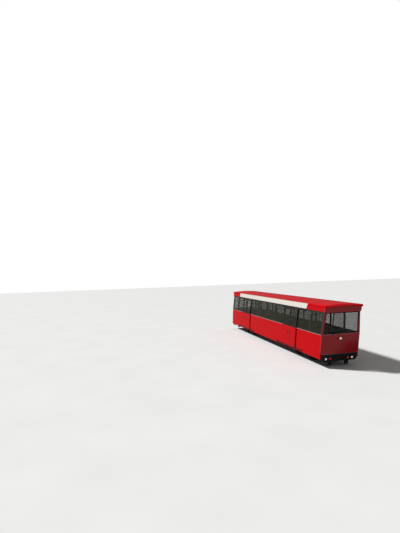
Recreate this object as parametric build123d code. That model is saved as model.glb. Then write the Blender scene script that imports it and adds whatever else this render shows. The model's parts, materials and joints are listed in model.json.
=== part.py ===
from build123d import *
import math
import os

# A funicular car with a stepped floor, in millimetres.
# X runs along the rails and is positive uphill, Y runs across, and Z is square to the rails.
# The origin is on the rail heads, midway between the two bogie pivots.
# On its slope the car's ends, posts and door edges stand plumb, so in this frame they lean uphill.

os.makedirs("parts", exist_ok=True)

# The line that the car is built for
SLOPE_DEG = 11.2
GAUGE = 1000.0
RAIL_HEAD = 66.0

# Steps, which set the length of the body
STEP_COUNT = 20
STEP_PITCH = 815.5
FLOOR_PLATE = 45.0

# Body heights: the skirt's foot above the rails, then each band above the one before
LEAN_Z = 2300.0
SKIRT_Z = 481.0
SKIRT_TO_FLOOR = 558.0
SKIRT_TO_SILL = 1412.0
WINDOW_HEIGHT = 1247.0
HEAD_RAIL = 58.0
FASCIA_HEIGHT = 232.0
EAVE_HEIGHT = 130.0
ROOF_RISE = 60.0
ROOF_SHELL = 70.0

# Body section
HALF_WIDTH = 1200.0
WALL = 60.0
END_WALL = 70.0
BAND_LEAN = 92.0
FASCIA_SETBACK = 60.0
FASCIA = 50.0
FRAME = 50.0
POST = 70.0
RAIL_DEPTH = 45.0
GLASS = 10.0
PANE_GAP = 8.0
SILL_BEAD = 6.0
LEDGE = 60.0
LEDGE_DEPTH = 30.0
ROOF_ROUND = 50.0
ROOF_OVERHANG = 160.0
VISOR_EDGE = 45.0
VISOR_ARCH = 75.0
END_FASCIA_LAP = 20.0
END_FASCIA_FOOT = 25.0
END_FASCIA_TOP = 65.0
END_FASCIA_SAG = 18.0

# Sign boards on the side fascias
SIGN_LENGTH = 12490.0
SIGN_SHIFT = -84.0
SIGN_PLATE = 9.0
SIGN_MARGIN = 6.0
SIGN_SLANT_DEG = 32.0

# Doors: two to a side, each of two leaves that slide apart outside the wall
DOOR_CENTRE_X = 4200.0
DOOR_HALF_OPENING = 930.0
LEAF_LAP = 10.0
LEAF_THICKNESS = 40.0
LEAF_GAP = 14.0
LEAF_MEETING_GAP = 10.0
LEAF_FOOT_ABOVE_SKIRT = 131.0
LEAF_HEAD_BELOW_RAIL = 12.0
LEAF_STILE = 75.0
LEAF_GLASS_SINK = 6.0
TRACK_SETBACK = 10.0
TRACK_HEIGHT = 40.0
TRACK_WALL = 8.0
TRACK_CLEARANCE = 8.0
HEAD_TRACK_CLEARANCE = 18.0
SHOE_LENGTH = 90.0
SHOE_THICKNESS = 18.0
SHOE_REACH = 40.0
SHOE_INSET = 180.0

# Ends
SCREEN_ABOVE_SILL = 52.0
SCREEN_BELOW_RAIL = 20.0
SCREEN_POST_FOOT = 125.0
SCREEN_POST_HEAD = 200.0
SCREEN_RECESS = 8.0
SKIRT_TO_END_PANEL = 255.0
END_PANEL_CORNER = 110.0
END_BEAM_HEIGHT = 422.0
END_BEAM_INSET = 70.0
END_BEAM_DEPTH = 200.0
END_BEAM_CHAMFER = 110.0
GUARD_HALF_WIDTH = 110.0
GUARD_CLEARANCE = 70.0
GUARD_SETBACK = 20.0
GUARD_DEPTH = 160.0
GUARD_TAPER = 50.0
GUARD_ROOT = 40.0
WHITE_LAMP_Y = 825.0
RED_LAMP_Y = 560.0
LAMP_RADIUS = 62.0
LAMP_STAND = 18.0
HEADLAMP_BELOW_SILL = 255.0
HEADLAMP_RADIUS = 85.0
HEADLAMP_STAND = 25.0

# Underframe
UNDERFRAME_DEPTH = 158.0
SOLEBAR_Y = 620.0
SOLEBAR_FLANGE = 90.0
SOLEBAR_WEB = 20.0
BEARER = 80.0
BEARER_RAISE = 40.0
BOLSTER_HALF = 200.0
BOLSTER_FOOT_Y = 320.0
BOLSTER_RAKE = 50.0
EQUIPMENT_START = 900.0
EQUIPMENT_LENGTH = 1600.0
HEATER_START = 1300.0
EQUIPMENT_DEPTH = 180.0
EQUIPMENT_INNER_Y = 400.0
EQUIPMENT_OUTER_Y = 1000.0
TANK_RADIUS = 90.0
TANK_HALF = 550.0

# Bogies and wheels
BOGIE_CENTRE_X = 4850.0
WHEELBASE = 1800.0
WHEEL_RADIUS = 300.0
FLANGE_DEPTH = 22.0
FLANGE_WIDTH = 26.0
FLANGE_PLAY = 10.0
DRUM_WIDTH = 180.0
RIM_DEPTH = 55.0
WEB_RECESS = 45.0
AXLE_RADIUS = 50.0
JOURNAL_CLEARANCE = 0.5
BOGIE_FRAME_Y = 760.0
BOGIE_FRAME_PLATE = 60.0
BOGIE_HEADROOM = 90.0
BEARING_RADIUS = 170.0
BEARING_HEIGHT = 50.0
PIVOT_RADIUS = 40.0
PIVOT_CLEARANCE = 0.5
PIVOT_DEPTH = 150.0
BEAM_DEPTH = 130.0
BELLY_DEPTH = 290.0
TRANSOM_HALF = 300.0
TRANSOM_DEPTH = 190.0
BOX_HALF = 95.0
BOX_HALF_WIDTH = 60.0
BOX_ABOVE_AXLE = 75.0
BOX_BELOW_AXLE = 90.0
HORN_GAP = 6.0
HORN = 45.0
HORN_BELOW_AXLE = 60.0
BRAKE_HALF = 250.0
BRAKE_HALF_WIDTH = 80.0
BRAKE_CLEARANCE = 60.0
SPRING_RADIUS = 38.0

# Rope attachment under the uphill end
CLEVIS_SETBACK = 900.0
CLEVIS_HALF = 130.0
CLEVIS_PIN_Z = 440.0
CLEVIS_PIN_RADIUS = 30.0
EAR_Y = 45.0
EAR = 30.0
EAR_FOOT_HALF = 70.0
EAR_BELOW_PIN = 70.0

# Seats: level distances from the tread's downhill edge, and heights above the tread
SEAT_STEPS = (2, 6, 7, 8, 9, 10, 11, 12, 13, 17)
SEAT_INNER_Y = 240.0
SEAT_WALL_CLEARANCE = 80.0
SEAT_FRONT = 190.0
SEAT_DEPTH = 410.0
SEAT_HEIGHT = 405.0
SEAT_DIP = 15.0
BACK_HEIGHT = 900.0
BACK_RAKE = 90.0
SEAT_SHELL = 30.0
PEDESTAL_FRONT = 400.0
PEDESTAL_DEPTH = 80.0
PEDESTAL_HALF = 150.0
PAD = 48.0
PAD_DEPTH = 364.0
PAD_GAP = 1.0
PAD_INSET = 8.0
BACK_PAD = 37.0
BACK_PAD_FOOT = 412.0
BACK_PAD_HEAD = 880.0

# Poles and cabs
POLE_RADIUS = 17.0
POLE_BELOW_LOWER_DOOR = 600.0
POLE_ABOVE_LOWER_DOOR = 40.0
POLE_BELOW_UPPER_DOOR = 760.0
POLE_ABOVE_UPPER_DOOR = 260.0
POLE_Y = 330.0
CAB_WINDOW = 1.75
PARTITION = 40.0
PARTITION_GAP = 3.0
PARTITION_EDGE = 60.0
PASSAGE_HALF = 300.0
DESK_WALL_CLEARANCE = 80.0
DESK_DEPTH = 430.0
DESK_TOE = 120.0
DESK_FRONT = 70.0
DESK_RISE = 90.0
DESK_SHELF = 140.0
DESK_BELOW_SILL = 10.0
STOOL_UPHILL_IN = 600.0
STOOL_DOWNHILL_IN = 210.0
STOOL_Y = 480.0
STOOL_HEIGHT = 430.0
STOOL_PAD = 70.0
STOOL_RADIUS = 180.0
STOOL_FOOT = 150.0
STOOL_FOOT_PLATE = 20.0
STOOL_COLUMN = 30.0
STOOL_BACK_REACH = 190.0
STOOL_BACK_HEIGHT = 900.0
STOOL_BACK_HALF = 170.0
STOOL_BACK = 25.0
LIGHT_LENGTH = 1100.0
LIGHT_HALF_WIDTH = 60.0
LIGHT_DEPTH = 25.0

# Wipers
WIPER_PIVOT_Y = -540.0
WIPER_BELOW_SCREEN = 35.0
WIPER_ARM = 475.0
WIPER_RISE = 69.0
WIPER_BLADE = 620.0
WIPER_WIDTH = 16.0
WIPER_ROOT_HALF = 12.0
WIPER_TIP_HALF = 6.0
WIPER_SHIFT = 34.0
WIPER_STAND = 38.0

# Small round pieces have this many sides, which keeps the mesh light
DISC_SIDES = 16
ROD_SIDES = 12

# Worked out from the sizes above
SLOPE = math.radians(SLOPE_DEG)
TAN = math.tan(SLOPE)
SIN = math.sin(SLOPE)
COS = math.cos(SLOPE)
HALF_LENGTH = STEP_COUNT * STEP_PITCH / 2
TREAD = STEP_PITCH * COS
END_WALL_X = END_WALL / COS
INSIDE_X = HALF_LENGTH - END_WALL_X
BAY = 2 * STEP_PITCH
FLOOR_PEAK_Z = SKIRT_Z + SKIRT_TO_FLOOR
FLOOR_TROUGH_Z = FLOOR_PEAK_Z - TREAD * SIN
SILL_Z = SKIRT_Z + SKIRT_TO_SILL
WINDOW_TOP_Z = SILL_Z + WINDOW_HEIGHT
BAND_TOP_Z = WINDOW_TOP_Z + HEAD_RAIL
ROOF_SEAT_Z = BAND_TOP_Z + FASCIA_HEIGHT
ROOF_EDGE_Z = ROOF_SEAT_Z + EAVE_HEIGHT
ROOF_CROWN_Z = ROOF_EDGE_Z + ROOF_RISE
CEILING_Z = ROOF_CROWN_Z - ROOF_SHELL
UNDERFRAME_TOP_Z = FLOOR_TROUGH_Z - FLOOR_PLATE
UNDERFRAME_FOOT_Z = UNDERFRAME_TOP_Z - UNDERFRAME_DEPTH
END_PANEL_Z = SKIRT_Z + SKIRT_TO_END_PANEL
END_BEAM_FOOT_Z = END_PANEL_Z - END_BEAM_HEIGHT
SCREEN_FOOT_Z = SILL_Z + SCREEN_ABOVE_SILL
SCREEN_HEAD_Z = WINDOW_TOP_Z - SCREEN_BELOW_RAIL
SCREEN_HALF_FOOT = HALF_WIDTH - SCREEN_POST_FOOT
SCREEN_HALF_HEAD = HALF_WIDTH - SCREEN_POST_HEAD
HEADLAMP_Z = SILL_Z - HEADLAMP_BELOW_SILL
LAMP_Z = SKIRT_Z
WALL_INNER_Y = HALF_WIDTH - WALL
SEAT_OUTER_Y = WALL_INNER_Y - SEAT_WALL_CLEARANCE
DESK_HALF = WALL_INNER_Y - DESK_WALL_CLEARANCE
FASCIA_FACE_Y = HALF_WIDTH - FASCIA_SETBACK
FASCIA_INNER_Y = FASCIA_FACE_Y - FASCIA
LINING_Y = FASCIA_INNER_Y - FRAME
ROOF_HALF_WIDTH = FASCIA_FACE_Y
LEAF_WIDTH = DOOR_HALF_OPENING + LEAF_LAP
LEAF_FOOT_Z = SKIRT_Z + LEAF_FOOT_ABOVE_SKIRT
LEAF_HEAD_Z = WINDOW_TOP_Z - LEAF_HEAD_BELOW_RAIL
TRACK_HALF = 2 * LEAF_WIDTH - TRACK_SETBACK
TRACK_WIDTH = LEAF_GAP + LEAF_THICKNESS
SOLEBAR_INNER_Y = SOLEBAR_Y - SOLEBAR_FLANGE / 2
SOLEBAR_OUTER_Y = SOLEBAR_Y + SOLEBAR_FLANGE / 2
BOGIE_TOP_Z = UNDERFRAME_FOOT_Z - BOGIE_HEADROOM
BOGIE_PLATE_Z = BOGIE_TOP_Z + BEARING_HEIGHT
RAIL_Y = GAUGE / 2 + RAIL_HEAD / 2

# Faces that cutting tools reach, clear of every piece
CUT_REACH = 1000.0
CUT_MARGIN = 200.0
CUT_DEPTH = 300.0
CUT_INNER_Y = HALF_WIDTH - CUT_DEPTH
CUT_OUTER_Y = HALF_WIDTH + CUT_MARGIN
CUT_FOOT_Z = 0.0
CUT_HEAD_Z = ROOF_CROWN_Z + CUT_MARGIN

ENDS = (("downhill", -1), ("uphill", 1))
SIDES = (-1, 1)
DOOR_CENTRES = (-DOOR_CENTRE_X, DOOR_CENTRE_X)


def lean(z):
    """How far uphill a plumb line stands at height z, from its place at LEAN_Z."""
    return (z - LEAN_Z) * TAN


def band_y(z):
    """Outer face of the window glass, which leans in from the sill upwards."""
    return HALF_WIDTH - (z - SILL_Z) * BAND_LEAN / (BAND_TOP_Z - SILL_Z)


def ceiling_z(y):
    """Height of the curved ceiling at a distance y from the middle."""
    rise = CEILING_Z - ROOF_SEAT_Z
    radius = (LINING_Y * LINING_Y + rise * rise) / (2 * rise)
    return CEILING_Z - radius + math.sqrt(radius * radius - y * y)


def plumb(x0, x1, z0, z1):
    """Outline in X and Z with plumb ends, whose places are given at LEAN_Z."""
    return [
        (x0 + lean(z0), z0),
        (x1 + lean(z0), z0),
        (x1 + lean(z1), z1),
        (x0 + lean(z1), z1),
    ]


def both_ways(half):
    """A whole outline from its positive half."""
    return half + [(-a, b) for a, b in reversed(half)]


def side_plate(points, y0, y1):
    """A plate seen from the side, from y0 to y1."""
    outline = Plane.XZ.offset(-y1) * Polygon(*points, align=None)
    return extrude(outline, amount=y1 - y0, dir=(0, -1, 0))


def side_cut(points):
    """The same outline as a tool through the far side of the body."""
    return side_plate(points, CUT_INNER_Y, CUT_OUTER_Y)


def long_form(section):
    """A section in Y and Z drawn out to more than the body's length."""
    reach = HALF_LENGTH + CUT_REACH
    return extrude(Plane.YZ.offset(-reach) * section, amount=2 * reach, dir=(1, 0, 0))


def long_bar(points):
    """The same from the corners of the section."""
    return long_form(Polygon(*points, align=None))


def block(x0, x1, y0, y1, z0, z1):
    """A block between two corners."""
    middle = Pos((x0 + x1) / 2, (y0 + y1) / 2, (z0 + z1) / 2)
    return middle * Box(x1 - x0, y1 - y0, z1 - z0)


def drum(x, z0, z1, radius):
    """A round block that stands on the middle line."""
    return Pos(x, 0, (z0 + z1) / 2) * Cylinder(radius, z1 - z0)


def cross_hole(x, z, radius):
    """A bore through the whole width."""
    return Pos(x, 0, z) * Rot(90, 0, 0) * Cylinder(radius, 2 * HALF_WIDTH)


def plumb_plane(x, z):
    """A plumb plane across the car: local x is Y, local y is straight up."""
    return Plane(origin=(x, 0, z), x_dir=(0, 1, 0), z_dir=(COS, 0, -SIN))


def plumb_slab(x, z, outline, depth):
    """A flat outline in a plumb plane, thickened level and uphill by depth."""
    return extrude(plumb_plane(x, z) * outline, amount=depth, dir=(COS, 0, -SIN))


def end_slab(end, outline, depth, stand=0.0):
    """An outline on one end face: its outer face stands out by stand, and depth goes inwards."""
    plane = plumb_plane(end * HALF_LENGTH + lean(0), 0).offset(end * stand)
    return extrude(plane * outline, amount=end * depth, dir=(-COS, 0, SIN))


def tread_corner(step):
    """The downhill edge of one tread."""
    return -HALF_LENGTH + step * STEP_PITCH + lean(FLOOR_PEAK_Z), FLOOR_PEAK_Z


def on_tread(step, points):
    """Points given level and plumb from a tread's downhill edge, turned into this frame."""
    x, z = tread_corner(step)
    return [(x + a * COS + b * SIN, z - a * SIN + b * COS) for a, b in points]


def other_side(shape):
    """The same piece on the near side, where Y is negative."""
    return mirror(shape, about=Plane.XZ)


def save(node, *solids):
    """Write one node."""
    shape = solids[0] if len(solids) == 1 else Compound(children=list(solids))
    export_step(shape, "parts/" + node + ".step")


# Body

def floor():
    """Level treads and plumb risers folded from one plate, run out to each door sill."""
    top = []
    for step in range(STEP_COUNT):
        top += on_tread(step, [(0, 0), (TREAD, 0)])
    outline = top + [(x, z - FLOOR_PLATE) for x, z in reversed(top)]
    ends = plumb(-INSIDE_X, INSIDE_X, CUT_FOOT_Z, SILL_Z)
    plate = side_plate(outline, -WALL_INNER_Y, WALL_INNER_Y)
    plate &= side_plate(ends, -HALF_WIDTH, HALF_WIDTH)
    sill_y = HALF_WIDTH - 2
    for centre in DOOR_CENTRES:
        wide = side_plate(outline, -sill_y, sill_y)
        plate += wide & side_plate(doorway(centre, CUT_FOOT_Z, SILL_Z), -sill_y, sill_y)
    return plate


def doorway(centre, z0, z1):
    """A door opening seen from the side."""
    return plumb(centre - DOOR_HALF_OPENING, centre + DOOR_HALF_OPENING, z0, z1)


def side_wall():
    """Far lower wall: skirt, sill bead and inner ledge, with its doorways cut."""
    bead_y = HALF_WIDTH + SILL_BEAD
    section = [
        (WALL_INNER_Y, SKIRT_Z),
        (HALF_WIDTH, SKIRT_Z),
        (HALF_WIDTH, SILL_Z - 4 * SILL_BEAD),
        (bead_y, SILL_Z - 3 * SILL_BEAD),
        (bead_y, SILL_Z - SILL_BEAD),
        (HALF_WIDTH, SILL_Z),
        (WALL_INNER_Y - LEDGE, SILL_Z),
        (WALL_INNER_Y - LEDGE, SILL_Z - LEDGE_DEPTH),
        (WALL_INNER_Y, SILL_Z - LEDGE_DEPTH - LEDGE),
    ]
    wall = long_bar(section) & side_cut(plumb(-HALF_LENGTH, HALF_LENGTH, CUT_FOOT_Z, WINDOW_TOP_Z))
    for end in (-1, 1):
        x0, x1 = sorted((end * INSIDE_X, end * (HALF_LENGTH + END_WALL)))
        wall -= side_cut(plumb(x0, x1, END_PANEL_Z, WINDOW_TOP_Z))
    for centre in DOOR_CENTRES:
        wall -= side_cut(doorway(centre, UNDERFRAME_TOP_Z, WINDOW_TOP_Z))
    return wall


def window_table():
    """Windows of one side: from and to, along the car at LEAN_Z."""
    cab = HALF_LENGTH - CAB_WINDOW * STEP_PITCH
    jamb = DOOR_CENTRE_X + DOOR_HALF_OPENING
    inner_jamb = DOOR_CENTRE_X - DOOR_HALF_OPENING
    uphill_half = [(0.0, BAY), (BAY, inner_jamb), (jamb, cab), (cab, INSIDE_X)]
    return [(-b, -a) for a, b in reversed(uphill_half)] + uphill_half


def side_frame():
    """Far posts and top rail of the window band, up to the roof."""
    section = [
        (band_y(SILL_Z) - GLASS - FRAME, SILL_Z),
        (band_y(SILL_Z) - GLASS, SILL_Z),
        (band_y(WINDOW_TOP_Z) - GLASS, WINDOW_TOP_Z),
        (band_y(WINDOW_TOP_Z), WINDOW_TOP_Z),
        (band_y(BAND_TOP_Z), BAND_TOP_Z),
        (FASCIA_INNER_Y, BAND_TOP_Z),
        (FASCIA_INNER_Y, ROOF_SEAT_Z),
        (LINING_Y, ROOF_SEAT_Z),
        (band_y(BAND_TOP_Z) - GLASS - FRAME, BAND_TOP_Z),
    ]
    frame = long_bar(section) & side_cut(plumb(-INSIDE_X, INSIDE_X, CUT_FOOT_Z, CUT_HEAD_Z))
    for x0, x1 in window_table():
        hole = plumb(x0 + POST / 2, x1 - POST / 2, SILL_Z + RAIL_DEPTH, WINDOW_TOP_Z - RAIL_DEPTH)
        frame -= side_cut(hole)
    for centre in DOOR_CENTRES:
        frame -= side_cut(doorway(centre, CUT_FOOT_Z, WINDOW_TOP_Z))
    return frame


def band_sheet(z0, z1, inner, outer):
    """Section of a flat sheet that lies along the leaning window band."""
    return [
        (band_y(z0) + inner, z0),
        (band_y(z0) + outer, z0),
        (band_y(z1) + outer, z1),
        (band_y(z1) + inner, z1),
    ]


def side_glass():
    """Far window panes, bonded outside the posts with a gap between neighbours."""
    section = band_sheet(SILL_Z + PANE_GAP / 2, WINDOW_TOP_Z - PANE_GAP / 2, -GLASS, 0)
    panes = []
    for x0, x1 in window_table():
        outline = plumb(x0 + PANE_GAP / 2, x1 - PANE_GAP / 2, CUT_FOOT_Z, CUT_HEAD_Z)
        panes.append(long_bar(section) & side_cut(outline))
    return panes


def fascia():
    """Far fascia above the windows."""
    outline = plumb(-HALF_LENGTH, HALF_LENGTH, BAND_TOP_Z, ROOF_SEAT_Z)
    return side_plate(outline, FASCIA_INNER_Y, FASCIA_FACE_Y)


def sign_board():
    """Far sign board on the fascia, with slanted ends."""
    z0 = BAND_TOP_Z + SIGN_MARGIN
    z1 = ROOF_EDGE_Z - 2 * SIGN_MARGIN
    slant = (z1 - z0) * math.tan(math.radians(SIGN_SLANT_DEG))
    x0 = SIGN_SHIFT - SIGN_LENGTH / 2 + lean(z0)
    x1 = SIGN_SHIFT + SIGN_LENGTH / 2 + lean(z0)
    outline = [(x0, z0), (x1, z0), (x1 + slant, z1), (x0 + slant, z1)]
    return side_plate(outline, FASCIA_FACE_Y, FASCIA_FACE_Y + SIGN_PLATE)


def visor_arch():
    """Section of the hollow under the roof's overhang at the ends."""
    half = ROOF_HALF_WIDTH - VISOR_EDGE
    return make_face(Wire([
        ThreePointArc((half, ROOF_SEAT_Z), (0, ROOF_SEAT_Z + VISOR_ARCH), (-half, ROOF_SEAT_Z)),
        Line((-half, ROOF_SEAT_Z), (half, ROOF_SEAT_Z)),
    ]))


def roof():
    """Crowned roof with rounded eaves and ends, over a curved ceiling and an arched visor at each end."""
    eave = ROOF_HALF_WIDTH
    shoulder = eave - ROOF_ROUND
    drop = ROOF_EDGE_Z - ROOF_ROUND
    bend = ROOF_ROUND * math.sqrt(0.5)
    section = make_face(Wire([
        ThreePointArc((-shoulder, ROOF_EDGE_Z), (0, ROOF_CROWN_Z), (shoulder, ROOF_EDGE_Z)),
        ThreePointArc((shoulder, ROOF_EDGE_Z), (shoulder + bend, drop + bend), (eave, drop)),
        Line((eave, drop), (eave, ROOF_SEAT_Z)),
        Line((eave, ROOF_SEAT_Z), (-eave, ROOF_SEAT_Z)),
        Line((-eave, ROOF_SEAT_Z), (-eave, drop)),
        ThreePointArc((-eave, drop), (-shoulder - bend, drop + bend), (-shoulder, ROOF_EDGE_Z)),
    ]))
    tip = HALF_LENGTH + ROOF_OVERHANG
    side = Polygon(*plumb(-tip, tip, ROOF_SEAT_Z, ROOF_CROWN_Z + PANE_GAP), align=None)
    side = fillet(side.vertices().sort_by(Axis.Y)[-2:], ROOF_ROUND)
    shell = long_form(section) & extrude(Plane.XZ * side, amount=CUT_OUTER_Y, both=True)
    vault = make_face(Wire([
        ThreePointArc((LINING_Y, ROOF_SEAT_Z), (0, CEILING_Z), (-LINING_Y, ROOF_SEAT_Z)),
        Line((-LINING_Y, ROOF_SEAT_Z), (LINING_Y, ROOF_SEAT_Z)),
    ]))
    inside = side_plate(plumb(-INSIDE_X, INSIDE_X, BAND_TOP_Z, CUT_HEAD_Z), -eave, eave)
    shell -= long_form(vault) & inside
    for end in (-1, 1):
        x0, x1 = sorted((end * HALF_LENGTH, end * (tip + END_WALL)))
        shell -= long_form(visor_arch()) & side_plate(plumb(x0, x1, BAND_TOP_Z, CUT_HEAD_Z), -eave, eave)
    return shell


# Ends

def screen_outline():
    """The windscreen seen square to the end."""
    half = [(SCREEN_HALF_FOOT, SCREEN_FOOT_Z / COS), (SCREEN_HALF_HEAD, SCREEN_HEAD_Z / COS)]
    return Polygon(*both_ways(half), align=None)


def end_wall(end):
    """One end: lower panel, corner posts and header, with its windscreen cut."""
    half = [
        (HALF_WIDTH, END_PANEL_Z),
        (HALF_WIDTH, SILL_Z),
        (band_y(BAND_TOP_Z), BAND_TOP_Z),
        (FASCIA_INNER_Y, BAND_TOP_Z),
        (FASCIA_INNER_Y, ROOF_SEAT_Z),
    ]
    section = Polygon(*both_ways(half), align=None)
    section = fillet(section.vertices().sort_by(Axis.Y)[:2], END_PANEL_CORNER)
    plate = Pos(0, CUT_HEAD_Z / 2) * Rectangle(2 * CUT_OUTER_Y, 2 * CUT_HEAD_Z) - screen_outline()
    return end_slab(end, plate, END_WALL) & long_form(section)


def windscreen(end):
    """One windscreen, set a little behind the outer face."""
    return end_slab(end, screen_outline(), GLASS, stand=-SCREEN_RECESS)


def end_fascia(end):
    """Curved header under the roof's overhang at one end."""
    z0 = SCREEN_HEAD_Z + END_FASCIA_LAP
    z1 = ROOF_SEAT_Z + VISOR_ARCH
    middle = (z0 + z1) / 2
    bulge = (END_FASCIA_FOOT + END_FASCIA_TOP) / 2 + END_FASCIA_SAG
    wall = end * HALF_LENGTH
    a = (wall + lean(z0), z0)
    b = (wall + end * END_FASCIA_FOOT + lean(z0), z0)
    m = (wall + end * bulge + lean(middle), middle)
    c = (wall + end * END_FASCIA_TOP + lean(z1), z1)
    d = (wall + lean(z1), z1)
    outline = make_face(Wire([Line(a, b), ThreePointArc(b, m, c), Line(c, d), Line(d, a)]))
    below = Pos(0, (SILL_Z + ROOF_SEAT_Z) / 2) * Rectangle(2 * FASCIA_FACE_Y, ROOF_SEAT_Z - SILL_Z)
    return extrude(Plane.XZ * outline, amount=FASCIA_FACE_Y, both=True) & long_form(below + visor_arch())


def end_beam(end):
    """Black beam below one end panel, bevelled at its lower corners."""
    edge = HALF_WIDTH - END_BEAM_INSET
    half = [
        (edge - END_BEAM_CHAMFER, END_BEAM_FOOT_Z),
        (edge, END_BEAM_FOOT_Z + END_BEAM_CHAMFER),
        (edge, END_PANEL_Z),
    ]
    plate = Pos(0, END_PANEL_Z) * Rectangle(2 * CUT_OUTER_Y, 2 * END_PANEL_Z)
    guard = rail_guard(end)
    return (end_slab(end, plate, END_BEAM_DEPTH) & long_bar(both_ways(half))) + guard + other_side(guard)


def rail_guard(end):
    """Wedge that hangs from the end beam to just above the far rail and clears it."""
    root = END_BEAM_FOOT_Z + GUARD_ROOT
    # Distance from the end's face, height
    outline = [
        (GUARD_SETBACK, root),
        (GUARD_SETBACK + GUARD_TAPER, GUARD_CLEARANCE),
        (GUARD_SETBACK + GUARD_DEPTH - GUARD_TAPER, GUARD_CLEARANCE),
        (GUARD_SETBACK + GUARD_DEPTH, root),
    ]
    points = [(end * (HALF_LENGTH - a) + lean(z), z) for a, z in outline]
    return side_plate(points, RAIL_Y - GUARD_HALF_WIDTH, RAIL_Y + GUARD_HALF_WIDTH)


def end_lamp(end, y, z, radius, stand):
    """A round lamp on one end face."""
    return end_slab(end, Pos(y, z / COS) * RegularPolygon(radius, DISC_SIDES), stand, stand=stand)


def wiper(end):
    """One parked wiper: pivot, arm and blade along the foot of the windscreen."""
    y = WIPER_PIVOT_Y
    z = SCREEN_FOOT_Z / COS - WIPER_BELOW_SCREEN
    tip_y, tip_z = y + WIPER_ARM, z + WIPER_RISE
    root, end_half = WIPER_ROOT_HALF, WIPER_TIP_HALF
    arm = Polygon(
        (y - root, z), (y + root, z - root),
        (tip_y + end_half, tip_z - end_half), (tip_y - end_half, tip_z + end_half), align=None)
    blade = Pos((y + tip_y) / 2 + WIPER_SHIFT, tip_z) * Rectangle(WIPER_BLADE, WIPER_WIDTH)
    pivot = Pos(y, z) * RegularPolygon(2 * WIPER_WIDTH, ROD_SIDES)
    swept = end_slab(end, pivot, WIPER_STAND, stand=WIPER_STAND)
    swept += end_slab(end, arm, WIPER_WIDTH, stand=WIPER_STAND)
    swept += end_slab(end, blade, 2 * WIPER_WIDTH, stand=WIPER_STAND)
    return swept


# Underframe and bogies

def underframe():
    """Ladder frame: two channel solebars, cross bearers, outriggers to the walls, and hung equipment."""
    z0, z1 = UNDERFRAME_FOOT_Z, UNDERFRAME_TOP_Z
    half_length = HALF_LENGTH - END_BEAM_DEPTH / COS
    channel = [
        (SOLEBAR_INNER_Y, z0),
        (SOLEBAR_OUTER_Y, z0),
        (SOLEBAR_OUTER_Y, z0 + SOLEBAR_WEB),
        (SOLEBAR_INNER_Y + SOLEBAR_WEB, z0 + SOLEBAR_WEB),
        (SOLEBAR_INNER_Y + SOLEBAR_WEB, z1 - SOLEBAR_WEB),
        (SOLEBAR_OUTER_Y, z1 - SOLEBAR_WEB),
        (SOLEBAR_OUTER_Y, z1),
        (SOLEBAR_INNER_Y, z1),
    ]
    bar = long_bar(channel) & side_plate(plumb(-half_length, half_length, z0, z1), 0, HALF_WIDTH)
    members = [bar, other_side(bar)]
    places = [step * STEP_PITCH - HALF_LENGTH for step in range(2, STEP_COUNT - 1, 2)]
    places += [half_length - BEARER / 2, BEARER / 2 - half_length]
    for place in places:
        outline = plumb(place - BEARER / 2, place + BEARER / 2, z0 + BEARER_RAISE, z1)
        outrigger = side_plate(outline, SOLEBAR_OUTER_Y, WALL_INNER_Y)
        members.append(side_plate(outline, -SOLEBAR_INNER_Y, SOLEBAR_INNER_Y))
        members += [outrigger, other_side(outrigger)]
    return members + equipment()


def equipment():
    """Battery, heater and control boxes and one air tank, hung from the solebars between the bogies."""
    top = UNDERFRAME_FOOT_Z
    foot = top - EQUIPMENT_DEPTH
    # Side, from and to along the car
    end = EQUIPMENT_START + EQUIPMENT_LENGTH
    places = ((-1, -end, -EQUIPMENT_START), (1, -end, -HEATER_START), (1, EQUIPMENT_START, end))
    boxes = []
    for side, x0, x1 in places:
        y0, y1 = sorted((side * EQUIPMENT_INNER_Y, side * EQUIPMENT_OUTER_Y))
        boxes.append(block(x0, x1, y0, y1, foot, top))
    section = Pos(-SOLEBAR_Y, top - TANK_RADIUS) * Rot(0, 0, 180 / ROD_SIDES) * RegularPolygon(
        TANK_RADIUS, ROD_SIDES, major_radius=False)
    tank = extrude(Plane.YZ.offset(BAY - TANK_HALF) * section, amount=2 * TANK_HALF, dir=(1, 0, 0))
    return boxes + [tank]


def bolster(centre):
    """Cross box between the solebars over one bogie, with its bearing plate and pivot pin."""
    half = [
        (BOLSTER_FOOT_Y, UNDERFRAME_FOOT_Z),
        (SOLEBAR_INNER_Y, UNDERFRAME_FOOT_Z + BOLSTER_RAKE),
        (SOLEBAR_INNER_Y, UNDERFRAME_TOP_Z),
    ]
    reach = block(
        centre - BOLSTER_HALF, centre + BOLSTER_HALF, -SOLEBAR_Y, SOLEBAR_Y, CUT_FOOT_Z, CUT_HEAD_Z)
    body = long_bar(both_ways(half)) & reach
    body += block(
        centre - BEARING_RADIUS, centre + BEARING_RADIUS, -BEARING_RADIUS, BEARING_RADIUS,
        BOGIE_PLATE_Z + PIVOT_CLEARANCE, UNDERFRAME_FOOT_Z)
    return body + drum(centre, BOGIE_TOP_Z - PIVOT_DEPTH, UNDERFRAME_FOOT_Z, PIVOT_RADIUS)


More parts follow.
